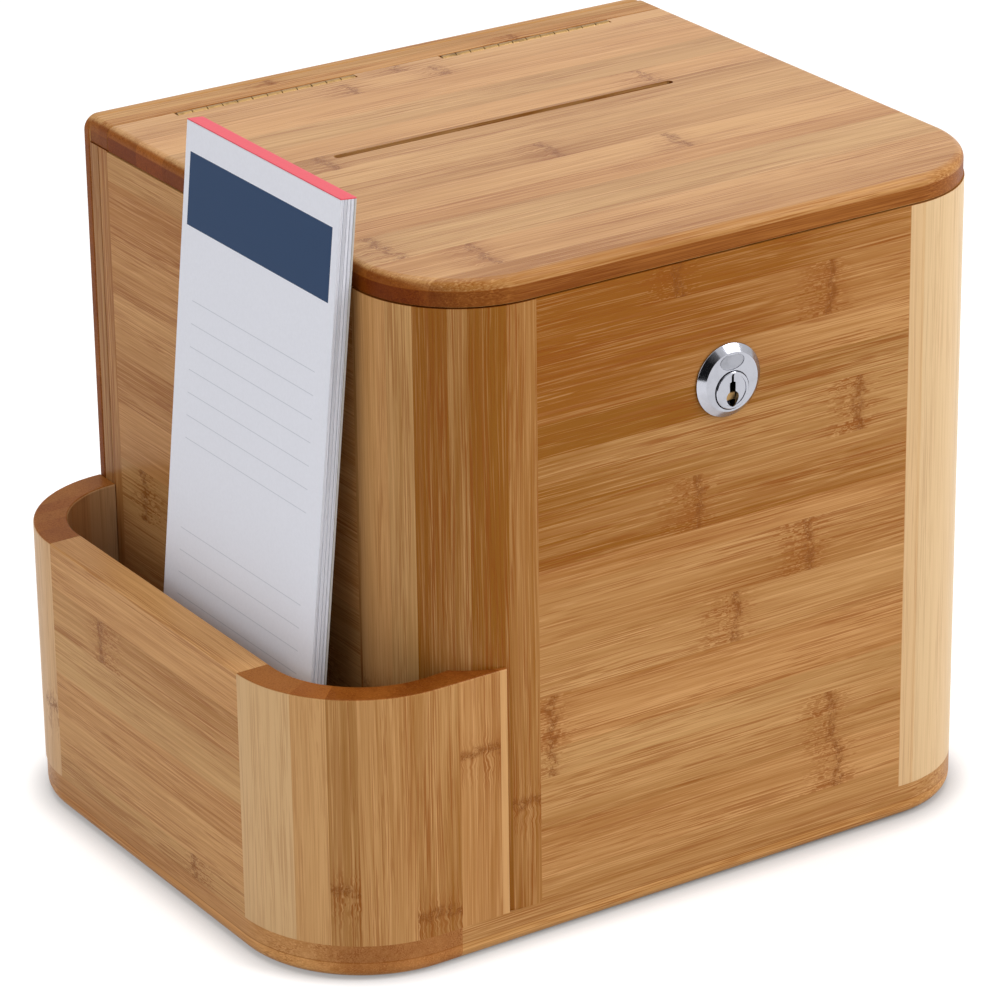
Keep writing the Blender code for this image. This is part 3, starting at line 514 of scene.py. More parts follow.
def bamboo_group():
    """Colour, roughness and relief of laminated bamboo.

    Grain is a place in metres, with its first axis along the fibres. Strip holds each strip's own values: its
    tone, and where its two node marks lie along the board, as shares of it. Slope is how much paler the strip
    gets along the board, over 0.5 for paler and under it for darker. Low and Span are where the board starts
    and how long it is.
    """
    inputs = {"Grain": "Vector", "Strip": "Color"}
    inputs.update(dict.fromkeys(("Slope", "Low", "Span", "End grain"), "Float"))
    inputs.update(dict.fromkeys(("Pale", "Light", "Middle", "Dark", "Knot"), "Color"))
    return shared_group(
        "bamboo", inputs, {"Color": "Color", "Roughness": "Float", "Height": "Float"}, fill_bamboo)


def fill_plies(w, take):
    """Multiplies the colour by a shade under the joint and lays the glue line over it."""
    above = w.math("GREATER_THAN", take["Height"], take["Underside"])
    lower = w.times(w.math("LESS_THAN", take["Height"], take["Joint"]), above)
    wood = w.blend(lower, take["Color"], w.blend(1, take["Color"], take["Shade"], "MULTIPLY"))
    gap = w.size(w.minus(take["Height"], take["Joint"]))
    return {"Color": w.blend(w.step(gap, 0.00008, 0.00028, 0.55, 0), wood, take["Glue"])}


def ply_group():
    """Colour of a board of two plies: a glue line at a height, and another shade from it to the underside."""
    inputs = dict.fromkeys(("Color", "Shade", "Glue"), "Color")
    inputs.update(dict.fromkeys(("Height", "Joint", "Underside"), "Float"))
    return shared_group("plies", inputs, {"Color": "Color"}, fill_plies)


SOFT_GLOSS = 0.08
# Along, across and through the grain, as the axes of the box
GRAINS = {"X": "XYZ", "Y": "YXZ", "Z": "ZXY"}
# A rounded post's staves are laid out from this far before the middle of its turn to this far past it
TURN_FROM, TURN_TO = math.radians(-62), math.radians(88)


def strip_ramp(w, share, strips):
    """Looks up the strip at a share of the way across.

    Each strip holds its start and tone, and where it has them its two mark places and how much paler it gets
    along the board.
    """
    node = w.node("ValToRGB", share)
    ramp = node.color_ramp
    ramp.interpolation = "CONSTANT"
    while len(ramp.elements) < len(strips):
        ramp.elements.new(0.5)
    for element, (start, tone, *marks) in zip(ramp.elements, strips):
        first, second, slope = (*marks, 0, 0, 0)[:3]
        element.position = start
        element.color = (tone, first, second, 0.5 + slope)
    return node.outputs


def turn_share(w, axes, corner):
    """Share of the way round a rounded post.

    Corner holds its centre in X and Y and its side, which is 1 at the left and -1 at the right.
    """
    x, y = w.minus(axes["X"], corner[0]), w.minus(axes["Y"], corner[1])
    half = math.sqrt(0.5)
    out_x = w.plus(w.times(x, -corner[2] * half), w.times(y, -half))
    out_y = w.plus(w.times(x, half), w.times(y, -corner[2] * half))
    return w.step(w.math("ARCTAN2", out_y, out_x), TURN_FROM, TURN_TO, smooth=False)


def bamboo(name, along, across, low, high, strips, corner=None, tint=1.0, ply=None, crossed=None,
           gloss=SOFT_GLOSS, end_share=1.0):
    """A bamboo material for one board or post.

    Low and high are its limits. Along is the axis of its grain and across the one that its strips are laid
    along, unless a corner is given that they are laid round. Ply gives the height of a glue line and the
    shade of the layer below it, and crossed the X up to which the grain runs along Y and the tone of that
    part. A gloss above the usual one is for level faces only. End_share is how strongly the end grain
    differs.
    """
    made, w, shader, coordinates = new_material("bamboo " + name.replace("_", " "))
    axes = dict(zip("XYZ", w.split(coordinates["Object"])))
    facing = dict(zip("XYZ", w.split(coordinates["Normal"])))
    grain = w.join(*(axes[axis] for axis in GRAINS[along]))
    cut_end = w.size(facing[along])
    if corner:
        share = turn_share(w, axes, corner)
    else:
        at = "XYZ".index(across)
        share = w.step(axes[across], low[at], high[at], smooth=False)
    strip = strip_ramp(w, share, strips)
    values = strip["Color"]
    if crossed:
        turned = w.math("LESS_THAN", axes["X"], crossed[0])
        values = w.blend(turned, values, (crossed[1], 0, 0))
        grain = w.blend(turned, grain, w.join(axes["Y"], axes["X"], axes["Z"]))
        cut_end = w.step(turned, 0, 1, cut_end, w.size(facing["Y"]), smooth=False)
    look = bpy.context.scene.bamboo_look
    keys = ("pale", "light", "middle", "dark", "knot")
    colours = {key: [c * tint for c in getattr(look, key)] for key in keys}
    at = "XYZ".index(along)
    out = w.group(
        bamboo_group(), grain=grain, strip=values, slope=strip["Alpha"], low=low[at], span=high[at] - low[at],
        end_grain=w.step(cut_end, 0.5, 0.85, 0, end_share), **colours)
    wood = out["Color"]
    if ply:
        wood = w.group(
            ply_group(), color=wood, height=axes["Z"], joint=ply[0], underside=low.z + 0.0001, shade=ply[1],
            glue=colours["dark"])["Color"]
    if gloss > SOFT_GLOSS:
        gloss = w.step(facing["Z"], 0.6, 0.98, SOFT_GLOSS / 2, gloss)
    w.feed_all(shader, {
        "Base Color": wood, "Roughness": out["Roughness"], "Normal": w.bump(out["Height"], look.relief),
        "Specular IOR Level": 0.04, "Coat Weight": gloss, "Coat Roughness": 0.2})
    return made


def finish_board(piece, node, *laid, body="box", **look):
    """Gives a board or post its bamboo and joins it to its body in place of its plain solid."""
    finish_piece(piece, body, "bamboo", bamboo(*laid, **look), node)


def fill_wear(w, take):
    """Patches and fine scratches from noise."""
    patches = w.noise(take["Place"], 240, 240, 240, detail=4, roughness=0.6)
    lines = w.noise(take["Place"], 3200, 900, 240)
    return {
        "Roughness": w.math("MULTIPLY_ADD", patches, take["Spread"], take["Roughness"]),
        "Height": w.plus(patches, w.times(lines, 0.3)),
        "Mask": w.step(patches, 0.45, 0.7),
    }


def wear_group():
    """Fine scratches and dull patches for metal, as roughness, relief and a mask."""
    return shared_group(
        "metal wear", {"Place": "Vector", "Roughness": "Float", "Spread": "Float"},
        dict.fromkeys(("Roughness", "Height", "Mask"), "Float"), fill_wear)


def metal(name, main, main_share, dull_share, roughness, spread, relief):
    """A plated or plain metal in a share of a colour, with dull patches of another share of it."""
    made = bpy.data.materials.get(name)
    if made:
        return made
    made, w, shader, coordinates = new_material(name)
    wear = w.group(wear_group(), place=coordinates["Object"], roughness=roughness, spread=spread)
    colours = ([c * share for c in main] for share in (main_share, dull_share))
    w.feed_all(shader, {
        "Base Color": w.blend(wear["Mask"], *colours), "Roughness": wear["Roughness"],
        "Normal": w.bump(wear["Height"], relief), "Metallic": 1})
    return made


def brass():
    return metal("dull brass", bpy.context.scene.metal_look.brass, 1, 0.55, 0.30, 0.22, 0.00002)


def chrome():
    return metal("chrome plate", bpy.context.scene.metal_look.chrome, 1, 0.92, 0.11, 0.06, 0.000002)


def satin():
    return metal("brushed chrome", bpy.context.scene.metal_look.chrome, 0.8, 0.65, 0.32, 0.1, 0.000006)


def zinc():
    return metal("zinc plate", bpy.context.scene.metal_look.zinc, 1, 0.8, 0.34, 0.2, 0.00001)


# Strips of each board: start across it as a share, tone, and if they have them the shares along it of two
# node marks and how much paler they get along it

FRONT_STRIPS = (
    (0, 0.5), (0.036, 0.49, 0.82), (0.12, 0.46, 0.8), (0.209, 0.51, 0, 0.03), (0.254, 0.44, 0.03),
    (0.345, 0.5, 0.53), (0.432, 0.41, 0.73), (0.523, 0.44), (0.558, 0.33, 0.42, 0, 0.16),
    (0.647, 0.38, 0.86, 0, 0.22), (0.741, 0.3, 0, 0, 0.3), (0.796, 0.36, 0, 0, 0.3),
    (0.852, 0.27, 0.78, 0, 0.34), (0.943, 0.23, 0.37, 0, 0.34),
)
LID_STRIPS = (
    (0, 0.44), (0.06, 0.53, 0, 0.16), (0.165, 0.6, 0.06), (0.28, 0.52), (0.34, 0.62, 0.65),
    (0.425, 0.54, 0.475), (0.51, 0.63), (0.585, 0.5, 0.18), (0.66, 0.61, 0.78), (0.73, 0.55),
    (0.81, 0.65), (0.9, 0.53, 0.545, 0.385), (0.96, 0.62, 0.49),
)
RAIL_STRIPS = ((0, 0.44, 0.72), (0.5, 0.55, 0.3))
BACK_STRIPS = (
    (0, 0.4, 0.2), (0.1, 0.5, 0.7), (0.19, 0.44), (0.29, 0.52, 0.35), (0.38, 0.4, 0.85),
    (0.48, 0.48, 0.1), (0.57, 0.55, 0, 0.6), (0.67, 0.42, 0.45), (0.77, 0.5), (0.86, 0.46, 0.25, 0.9),
    (0.95, 0.54),
)
SIDE_STRIPS = (
    (0, 0.45, 0.3), (0.09, 0.51), (0.18, 0.43, 0.75), (0.28, 0.54, 0.15), (0.38, 0.46, 0, 0.9),
    (0.47, 0.52, 0.55), (0.57, 0.44), (0.66, 0.53, 0.35), (0.76, 0.48), (0.86, 0.43, 0, 0.2),
    (0.95, 0.5, 0.6),
)
BASE_STRIPS = (
    (0, 0.5), (0.1, 0.44, 0, 0.6), (0.2, 0.52, 0.3), (0.31, 0.4), (0.42, 0.48, 0.8), (0.53, 0.42),
    (0.64, 0.5, 0.15), (0.75, 0.44, 0, 0.5), (0.86, 0.52), (0.94, 0.46, 0.9),
)
POCKET_SIDE_STRIPS = (
    (0, 0.51, 0.26), (0.1, 0.58), (0.28, 0.53), (0.46, 0.6), (0.635, 0.5, 0.73), (0.817, 0.57),
)
# Round a post the shares run over the turn about its corner, 0.0067 to a degree, with its middle at 0.413
LEFT_POST_STAVES = (
    (0, 0.36), (0.09, 0.66, 0, 0.35), (0.24, 0.6), (0.337, 0.24), (0.45, 0.38), (0.513, 0.17),
    (0.64, 0.33, 0.18),
)
# The right post's staves sit near the palest tone: partly pale bamboo, partly a painted sheen where its round
# catches reflections at grazing angles
RIGHT_POST_STAVES = (
    (0, 0.72), (0.08, 0.84), (0.127, 0.8), (0.14, 0.93), (0.35, 0.98), (0.55, 0.95, 0.55), (0.67, 0.97),
    (0.73, 0.8),
)
# The pale staves of the pocket's corners are partly pale bamboo and partly a painted sheen on their rounds
POCKET_CORNER_STAVES = (
    (0, 0.8), (0.305, 0.71), (0.409, 0.38, 0.23), (0.49, 0.54), (0.643, 0.42, 0.09),
    (0.781, 0.53, 0, 0.7), (0.892, 0.7),
)
POCKET_REAR_STAVES = ((0, 0.82, 0.3), (0.25, 0.75), (0.4, 0.83, 0.75), (0.55, 0.78), (0.7, 0.83))
STRIP_STAVES = ((0, 0.44), (0.5, 0.5, 0.55))

# The glue's thickness, which the plain solids leave open
GLUE_GAP = 0.0003
# How far the front's and sides' upper edges rise towards the lid
RIM_RISE = 0.0004
# How far a cutter goes past what it cuts, and a joined piece into what it joins
PAST = 0.002


def glued(low, high, *faces):
    """Limits of a board, carried on by the glue's thickness at each named face, such as -X or +Y."""
    low, high = Vector(low), Vector(high)
    for sign, axis in faces:
        if sign == "-":
            low["XYZ".index(axis)] -= GLUE_GAP
        else:
            high["XYZ".index(axis)] += GLUE_GAP
    return low, high


# How far the cross grain of the pocket's floor reaches under the box
CROSS_GRAIN_LAP = 0.010


class SUGGESTIONBOX_OT_base(Operator):
    """Base board under the box and the pocket, rounded over along its lower edge"""

    bl_idname = "suggestion_box.base"
    bl_label = "Base Board"

    def execute(self, context):
        sizes = context.scene.box_sizes
        low, high = BASE_LOW, BASE_HIGH
        piece = add_block("base", low, high)
        for x, y, radius in (
            (low.x, low.y, POCKET_HIGH.y - POCKET_LOW.y),
            (high.x, low.y, sizes.corner_radius),
            (low.x, high.y, POCKET_REAR_HIGH.y - POCKET_REAR_LOW.y),
        ):
            round_edges(piece, edge_at(x=x, y=y), radius, sizes.round_steps)
        round_edges(piece, rim_at("z", low.z, both_at(y=high.y)), sizes.base_round, 6)
        finish_board(
            piece, "base_board", "base", "X", "Y", low, high, BASE_STRIPS, end_share=0.55,
            ply=((low.z + high.z) / 2, (1.16, 1.16, 1.1)), crossed=(BODY_LOW.x + CROSS_GRAIN_LAP, 0.56))
        return {"FINISHED"}


def swept_post(name, centre, side, radius, low_z, high_z, flat):
    """A post whose section is swept round its corner, with a short flat at both ends."""
    left, right = sorted((centre[0], centre[0] + side * flat))
    piece = add_block(
        name, (left, centre[1] - radius, low_z), (right, centre[1] - (radius - WALL), high_z))
    pick(piece, "faces", lambda part: near(part.calc_center_median().x, centre[0]))
    bpy.ops.mesh.spin(
        steps=bpy.context.scene.box_sizes.round_steps, angle=math.pi / 2 * side, dupli=False,
        center=(*centre, 0), axis=(0, 0, 1))
    extrude(y=flat)
    close_up()
    return piece


class SUGGESTIONBOX_OT_posts(Operator):
    """The two rounded front posts, of upright staves"""

    bl_idname = "suggestion_box.posts"
    bl_label = "Front Posts"

    def execute(self, context):
        radius = context.scene.box_sizes.corner_radius
        for name, side, staves in (
            ("front_left_post", 1, LEFT_POST_STAVES), ("front_right_post", -1, RIGHT_POST_STAVES),
        ):
            low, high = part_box(name)
            flat = high.x - low.x - radius + GLUE_GAP / 2
            centre = (low.x + radius if side > 0 else high.x - radius, low.y + radius)
            piece = swept_post(
                name + "_staves", centre, side, radius, low.z - GLUE_GAP, high.z + RIM_RISE, flat)
            finish_board(piece, name, name, "Z", "X", low, high, staves, (*centre, side))
        return {"FINISHED"}


LOCK_HOLE_RADIUS = 0.0107
BACK_CORNER_RADIUS = 0.005


class SUGGESTIONBOX_OT_panels(Operator):
    """Front and side panels, the strips behind them, the back board and the top rail"""

    bl_idname = "suggestion_box.panels"
    bl_label = "Panels"

    def execute(self, context):
        sizes = context.scene.box_sizes
        low, high = glued(PANEL_LOW, PANEL_HIGH, "-Z")
        low.x -= GLUE_GAP / 2
        high.x += GLUE_GAP / 2
        high.z += RIM_RISE
        piece = add_block("front_panel_board", low, high)
        centre = (LOCK_LOW + LOCK_HIGH) / 2
        cut_away(piece, add_rod(
            "hole", (centre.x, low.y - WALL, centre.z), LOCK_HOLE_RADIUS, WALL * 3, steps=96))
        finish_board(piece, "front_panel", "front", "X", "Z", low, high, FRONT_STRIPS)

        for name in ("left_side_panel", "right_side_panel"):
            low, high = glued(*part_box(name), "-Z", "+Y")
            low.y -= GLUE_GAP / 2
            high.z += RIM_RISE
            piece = add_block(name + "_board", low, high)
            finish_board(piece, name, name, "Y", "Z", low, high, SIDE_STRIPS, tint=1.05)

        for name in ("rear_left_strip", "rear_left_batten", "rear_right_strip", "rear_right_batten"):
            low, high = glued(*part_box(name), "-Z", "+Y", "+Z")
            piece = add_block(name + "_board", low, high)
            outer = low.x if "left" in name else high.x
            round_edges(piece, edge_at(x=outer, y=high.y), sizes.eased_edge * 0.8, 2)
            tint = 0.86 if "batten" in name else 1.0
            finish_board(piece, name, name, "Z", "X", low, high, STRIP_STAVES, tint=tint)

        low, high = glued(BACK_LOW, BACK_HIGH, "-Z")
        piece = add_block("back_board_panel", low, high)
        for x in (low.x, high.x):
            round_edges(piece, edge_at(x=x, z=high.z), BACK_CORNER_RADIUS, 8)
        ease(piece, sizes.eased_edge * 1.6, steps=3)
        finish_board(piece, "back_board", "back", "X", "Z", low, high, BACK_STRIPS)

        low, high = glued(RAIL_LOW, RAIL_HIGH, "+Y")
        piece = add_block("top_rail_board", low, high)
        for x in (low.x, high.x):
            round_edges(piece, edge_at(x=x, z=high.z), sizes.lid_round, 6)
        ease(piece, sizes.eased_edge * 0.6)
        finish_board(
            piece, "top_rail", "rail", "X", "Y", low, high, RAIL_STRIPS,
            ply=((low.z + high.z) / 2, (0.82, 0.76, 0.7)))
        return {"FINISHED"}


POCKET_FRONT_WALL = 0.009
POCKET_REAR_WALL = 0.0105
# Straight part between the curve of the pocket's rear corner and the box
POCKET_REAR_FLAT = 0.0008
# Between the pocket's front corner and the post that it meets
POST_CLEARANCE = 0.00005
# How near to the post's round a point counts as at it
POST_TOUCH = 0.0002


class SUGGESTIONBOX_OT_pocket(Operator):
    """Pocket at the left side: side panel, staved front corner and rounded rear corner"""

    bl_idname = "suggestion_box.pocket"
    bl_label = "Pocket"

    def execute(self, context):
        sizes = context.scene.box_sizes
        low, high = glued(POCKET_SIDE_LOW, POCKET_SIDE_HIGH, "-Z", "-Y", "+Y")
        wall = high.x - low.x
        piece = add_block("pocket_side", low, high)
        at_joint = lambda a, b: near(a.y, b.y)
        round_edges(piece, rim_at("z", high.z, at_joint), sizes.rim_round, 4)
        finish_board(
            piece, "pocket_left_panel", "pocket side", "Y", "Z", low, high, POCKET_SIDE_STRIPS, tint=1.06)

        low, high = glued(POCKET_LOW, POCKET_HIGH, "-Z")
        radius = high.y - low.y
        piece = add_block("pocket_corner", low, high)
        round_edges(piece, edge_at(x=low.x, y=low.y), radius, sizes.round_steps)
        x, y = low.x + wall, low.y + POCKET_FRONT_WALL
        well = add_block("well", (x, y, low.z - PAST), (high.x + PAST, high.y + PAST, high.z + PAST))
        round_edges(well, edge_at(x=x, y=y), radius - wall, sizes.round_steps)
        centre = (BODY_LOW.x + sizes.corner_radius, BODY_LOW.y + sizes.corner_radius)
        post = add_rod(
            "post", (*centre, low.z - PAST), sizes.corner_radius + POST_CLEARANCE,
            high.z - low.z + PAST * 2, "Z", steps=256)
        cut_away(piece, well, post)
        at_end = both_at(y=high.y)
        by_post = lambda point: near((point.xy - Vector(centre)).length, sizes.corner_radius, POST_TOUCH)
        at_joint = lambda a, b: at_end(a, b) or by_post(a) or by_post(b)
        round_edges(piece, rim_at("z", high.z, at_joint), sizes.rim_round, 4)
        finish_board(
            piece, "pocket_front_corner", "pocket corner", "Z", "X", low, high, POCKET_CORNER_STAVES,
            (low.x + radius, low.y + radius, 1))

        low, high = glued(POCKET_REAR_LOW, POCKET_REAR_HIGH, "-Z")
        piece = add_block("pocket_rear", low, high)
        radius = high.x - low.x - POCKET_REAR_FLAT
        round_edges(piece, edge_at(x=low.x, y=high.y), radius, sizes.round_steps)
        x, y = low.x + wall, high.y - POCKET_REAR_WALL
        well = add_block("well", (x, low.y - PAST, low.z - PAST), (high.x + PAST, y, high.z + PAST))
        round_edges(well, edge_at(x=x, y=y), radius - wall, sizes.round_steps)
        cut_away(piece, well)
        at_side, at_box = both_at(y=low.y), both_at(x=high.x)
        at_joint = lambda a, b: at_side(a, b) or at_box(a, b)
        round_edges(piece, rim_at("z", high.z, at_joint), sizes.rim_round, 4)
        finish_board(piece, "pocket_rear_corner", "pocket rear", "Z", "Y", low, high, POCKET_REAR_STAVES)
        return {"FINISHED"}


PIN_LOW, PIN_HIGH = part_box("left_hinge_pin")
HINGE_AXIS = (PIN_LOW + PIN_HIGH) / 2
KNUCKLE_RADIUS = 0.00145
BORE_RADIUS = 0.00075
KNUCKLE_COUNT = 12
KNUCKLE_GAP = 0.0003
KNUCKLE_TURN = math.radians(288)
KNUCKLE_STEPS = 20
MORTISE_GAP = 0.0003


class SUGGESTIONBOX_OT_lid(Operator):
    """Lid with rounded front corners, a card slot and a mortise for each hinge"""

    bl_idname = "suggestion_box.lid"
    bl_label = "Lid"

    def execute(self, context):
        sizes = context.scene.box_sizes
        low, high = LID_LOW, LID_HIGH
        piece = add_block("lid", low, high)
        radius = sizes.corner_radius - (low.x - BODY_LOW.x)
        for x in (low.x, high.x):
            round_edges(piece, edge_at(x=x, y=low.y), radius, sizes.round_steps)
        at_rear = both_at(y=high.y)
        not_at_rear = lambda a, b: not at_rear(a, b)
        round_edges(piece, rim_at("z", high.z, at_rear), sizes.lid_round, 8)
        round_edges(piece, rim_at("z", high.z, not_at_rear), sizes.lid_rear_round, 3)

        middle = (low.x + high.x) / 2
        slot_y = BACK_HIGH.y - sizes.slot_setback
        half = sizes.slot_width / 2
        slot = add_block(
            "slot", (middle - sizes.slot_length / 2, slot_y - half, low.z - PAST),
            (middle + sizes.slot_length / 2, slot_y + half, high.z + PAST))
        round_edges(
            slot, lambda edge: not near(edge.verts[0].co.z, edge.verts[1].co.z), half * 0.999, 8)
        cutters = [slot]
        front = HINGE_AXIS.y - KNUCKLE_RADIUS - MORTISE_GAP
        for leaf_low, leaf_high in ((LEFT_LEAF_LOW, LEFT_LEAF_HIGH), (RIGHT_LEAF_LOW, RIGHT_LEAF_HIGH)):
            cutters.append(add_block(
                "mortise", (leaf_low.x - MORTISE_GAP, front, low.z - PAST),
                (leaf_high.x + MORTISE_GAP, high.y + PAST, high.z + PAST)))
        cut_away(piece, *cutters)
        ease(piece, sizes.eased_edge * 0.5)
        finish_board(
            piece, "lid_panel", "lid", "X", "Y", low, high, LID_STRIPS, body="lid", gloss=0.36,
            ply=(low.z + (high.z - low.z) * 0.6, (0.62, 0.43, 0.22)))
        return {"FINISHED"}


def hinge_leaf(name, low, side, own, body, node):
    """A leaf with its own knuckles cut free, raised and rolled over the pin.

    Side is 1 for a leaf behind the pin and -1 for one before it. Own is the first of its knuckles, which are
    every second one.
    """
    length = LEFT_LEAF_HIGH.x - LEFT_LEAF_LOW.x
    notch = HINGE_AXIS.z - KNUCKLE_RADIUS - KNUCKLE_GAP
    front, back = sorted(HINGE_AXIS.y + side * reach for reach in (BORE_RADIUS, KNUCKLE_RADIUS))
    piece = add_block(name, (low.x, front, low.z), (low.x + length, back, notch))
    pitch = length / KNUCKLE_COUNT
    knuckles = [
        (low.x + pitch * k + KNUCKLE_GAP / 2, low.x + pitch * (k + 1) - KNUCKLE_GAP / 2)
        for k in range(own, KNUCKLE_COUNT, 2)]
    only(piece)
    bpy.ops.object.mode_set(mode="EDIT")
    for knuckle in knuckles:
        for x in knuckle:
            bpy.ops.mesh.select_all(action="SELECT")
            bpy.ops.mesh.bisect(plane_co=(x, 0, 0), plane_no=(1, 0, 0))
    done()
    pick(piece, "faces", lambda part: (
        part.normal.z > 0.9 and any(a < part.calc_center_median().x < b for a, b in knuckles)))
    extrude(z=HINGE_AXIS.z - notch)
    bpy.ops.mesh.spin(
        steps=KNUCKLE_STEPS, angle=KNUCKLE_TURN, dupli=False, center=(0, HINGE_AXIS.y, HINGE_AXIS.z),
        axis=(-side, 0, 0))
    close_up()
    finish_piece(piece, body, "brass", brass(), node, angle=28)


class SUGGESTIONBOX_OT_hinges(Operator):
    """Leaves of both hinges, and the finish of their pins and screws"""

    bl_idname = "suggestion_box.hinges"
    bl_label = "Hinges"

    def execute(self, context):
        for word, low in (("left", LEFT_LEAF_LOW), ("right", RIGHT_LEAF_LOW)):
            hinge_leaf(word + "_rail_leaf", low, 1, 0, "box", word + "_hinge_rail_leaf")
            hinge_leaf(word + "_lid_leaf", low, -1, 1, "lid", word + "_hinge_lid_leaf")
        hinge_solids = [name for name in frame["nodes"] if "hinge" in name]
        dress_solids([name for name in hinge_solids if "pin" in name or "screw" in name], brass())
        return {"FINISHED"}


# Half width and height of the keyway's outline, as shares of the plug's radius, from its foot to its top
KEYWAY_SHARES = (
    (0.05, -0.86), (0.16, -0.80), (0.27, -0.68), (0.35, -0.54), (0.385, -0.38), (0.36, -0.25),
    (0.28, -0.14), (0.18, -0.07), (0.18, 0.42), (0.07, 0.47), (0.07, 0.89),
)
KEYWAY_DEPTH = 0.014
# The lock's face: its gap to the panel, its rim's edge, its bevel's width and how far it overhangs the body
SEAT_GAP = 0.00015
RIM_EDGE = 0.0004
BEVEL_WIDTH = 0.0023
RIM_OVERHANG = 0.0014
# The bore for the plug, wider than it and deeper than the lock
BORE_GAP = 0.00022
BORE_DEPTH = 0.06
# The oval above the plug: half its width and height, its place over the lock's middle, its depth and how long
# its cutter is
OVAL_WIDTH = 0.00445
OVAL_HEIGHT = 0.00255
OVAL_RISE = 0.00645
OVAL_DEPTH = 0.0003
OVAL_CUTTER = 0.01
# Its inlay: the gap around it, how far back its face lies and its thickness
INLAY_GAP = 0.0002
INLAY_SETBACK = 0.00015
INLAY_THICKNESS = 0.0004
# The plug: rounding of its front, the dish in it and the square tail behind it
PLUG_ROUND = 0.0005
DISH_RIM = 0.0011
DISH_DEPTH = 0.00025
TAIL_HALF = 0.003
# The wafer in the keyway: half its width, how far back its front and rear lie, and its drop as shares of the
# plug's radius
WAFER_HALF = 0.0021
WAFER_FRONT = 0.0018
WAFER_REAR = 0.0040
WAFER_FOOT = 0.62
WAFER_TOP = 0.20
# Rounding of the lock's sharp edges
EASED_FACE = 0.00018
EASED_INLAY = 0.00008
EASED_PLUG = 0.00012
EASED_WAFER = 0.0003


def add_prism(name, outline, start, length):
    """A bar along Y whose section is an outline in X and Z about its start."""
    deselect()
    bpy.ops.mesh.primitive_circle_add(
        vertices=len(outline), radius=0.01, fill_type="NGON", rotation=(math.pi / 2, 0, 0))
    piece = named(name)
    for vertex, (x, z) in zip(piece.data.vertices, outline):
        vertex.co = (start[0] + x, start[1], start[2] + z)
    pick(piece, "faces", lambda part: True)
    extrude(y=length)
    close_up()
    return piece


class SUGGESTIONBOX_OT_lock(Operator):
    """Lock body with its bevelled face, the plug with its keyway, and the cam and nut behind"""

    bl_idname = "suggestion_box.lock"
    bl_label = "Lock"

    def execute(self, context):
        centre = (LOCK_LOW + LOCK_HIGH) / 2
        screw_low, screw_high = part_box("cam_screw")
        plug = (screw_low + screw_high) / 2
        plug_radius = (PLUG_HIGH.x - PLUG_LOW.x) / 2
        face, front = LOCK_LOW.y, PLUG_LOW.y

        seat = PANEL_LOW.y - SEAT_GAP
        rim = seat - RIM_EDGE
        piece = add_rod("lock_face", (centre.x, rim, centre.z), (LOCK_HIGH.x - LOCK_LOW.x) / 2, seat - rim)
        pick(piece, "faces", lambda part: part.normal.y < -0.9)
        bpy.ops.mesh.inset(thickness=BEVEL_WIDTH)
        bpy.ops.transform.translate(value=(0, face - rim, 0))
        done()
        pick(piece, "faces", lambda part: part.normal.y > 0.9)
        bpy.ops.mesh.inset(thickness=RIM_OVERHANG)
        extrude(y=LOCK_HIGH.y - seat)
        done()
        bore = add_rod("bore", (centre.x, face - PAST, plug.z), plug_radius + BORE_GAP, BORE_DEPTH)
        oval = placed(
            add_rod("oval", (0, 0, 0), 1, OVAL_CUTTER, steps=96), scale=(OVAL_WIDTH, 1, OVAL_HEIGHT),
            location=(centre.x, face + OVAL_DEPTH - OVAL_CUTTER, centre.z + OVAL_RISE))
        cut_away(piece, bore, oval)
        ease(piece, EASED_FACE, angle=25)
        finish_piece(piece, "box", "chrome", chrome(), "lock_body", angle=24)

        piece = placed(
            add_rod("oval_inlay", (0, 0, 0), 1, INLAY_THICKNESS, steps=64),
            scale=(OVAL_WIDTH - INLAY_GAP, 1, OVAL_HEIGHT - INLAY_GAP),
            location=(centre.x, face + INLAY_SETBACK, centre.z + OVAL_RISE))
        ease(piece, EASED_INLAY, steps=1)
        finish_piece(piece, "box", "chrome", satin(), angle=24)

        piece = add_rod("lock_plug_face", (centre.x, front, plug.z), plug_radius, LOCK_HIGH.y - front)
        round_edges(piece, rim_at("y", front), PLUG_ROUND, 3)
        cut_away(piece, add_block(
            "tail", (centre.x - TAIL_HALF, LOCK_HIGH.y - PAST, plug.z - TAIL_HALF),
            (centre.x + TAIL_HALF, PLUG_HIGH.y, plug.z + TAIL_HALF)), join=True)
        outline = [(plug_radius * x, plug_radius * z) for x, z in KEYWAY_SHARES]
        outline += [(-x, z) for x, z in reversed(outline)]
        start = (centre.x, front - PAST, plug.z)
        keyway = add_prism("keyway", outline, start, KEYWAY_DEPTH)
        dish = add_rod("dish", start, plug_radius - DISH_RIM, PAST + DISH_DEPTH)
        cut_away(piece, keyway, dish)
        ease(piece, EASED_PLUG, angle=40)
        finish_piece(piece, "lock_plug", "chrome", chrome(), "lock_plug", angle=24)

        piece = add_block(
            "wafer", (centre.x - WAFER_HALF, front + WAFER_FRONT, plug.z - plug_radius * WAFER_FOOT),
            (centre.x + WAFER_HALF, front + WAFER_REAR, plug.z - plug_radius * WAFER_TOP))
        ease(piece, EASED_WAFER)
        finish_piece(piece, "lock_plug", "brass", brass())
        dress_solids(("lock_nut", "lock_cam", "cam_screw"), zinc())
        return {"FINISHED"}


class SUGGESTIONBOX_OT_keeper(Operator):
    """Finish of the keeper bracket under the lid and its screws"""

    bl_idname = "suggestion_box.keeper"
    bl_label = "Keeper"

    def execute(self, context):
        dress_solids(("keeper_bracket", "keeper_screw_1", "keeper_screw_2"), zinc())
        return {"FINISHED"}


PAD_LENGTH = 0.2286
PAD_THICKNESS = 0.0055
BACKING = 0.0007
GLUE = 0.0004
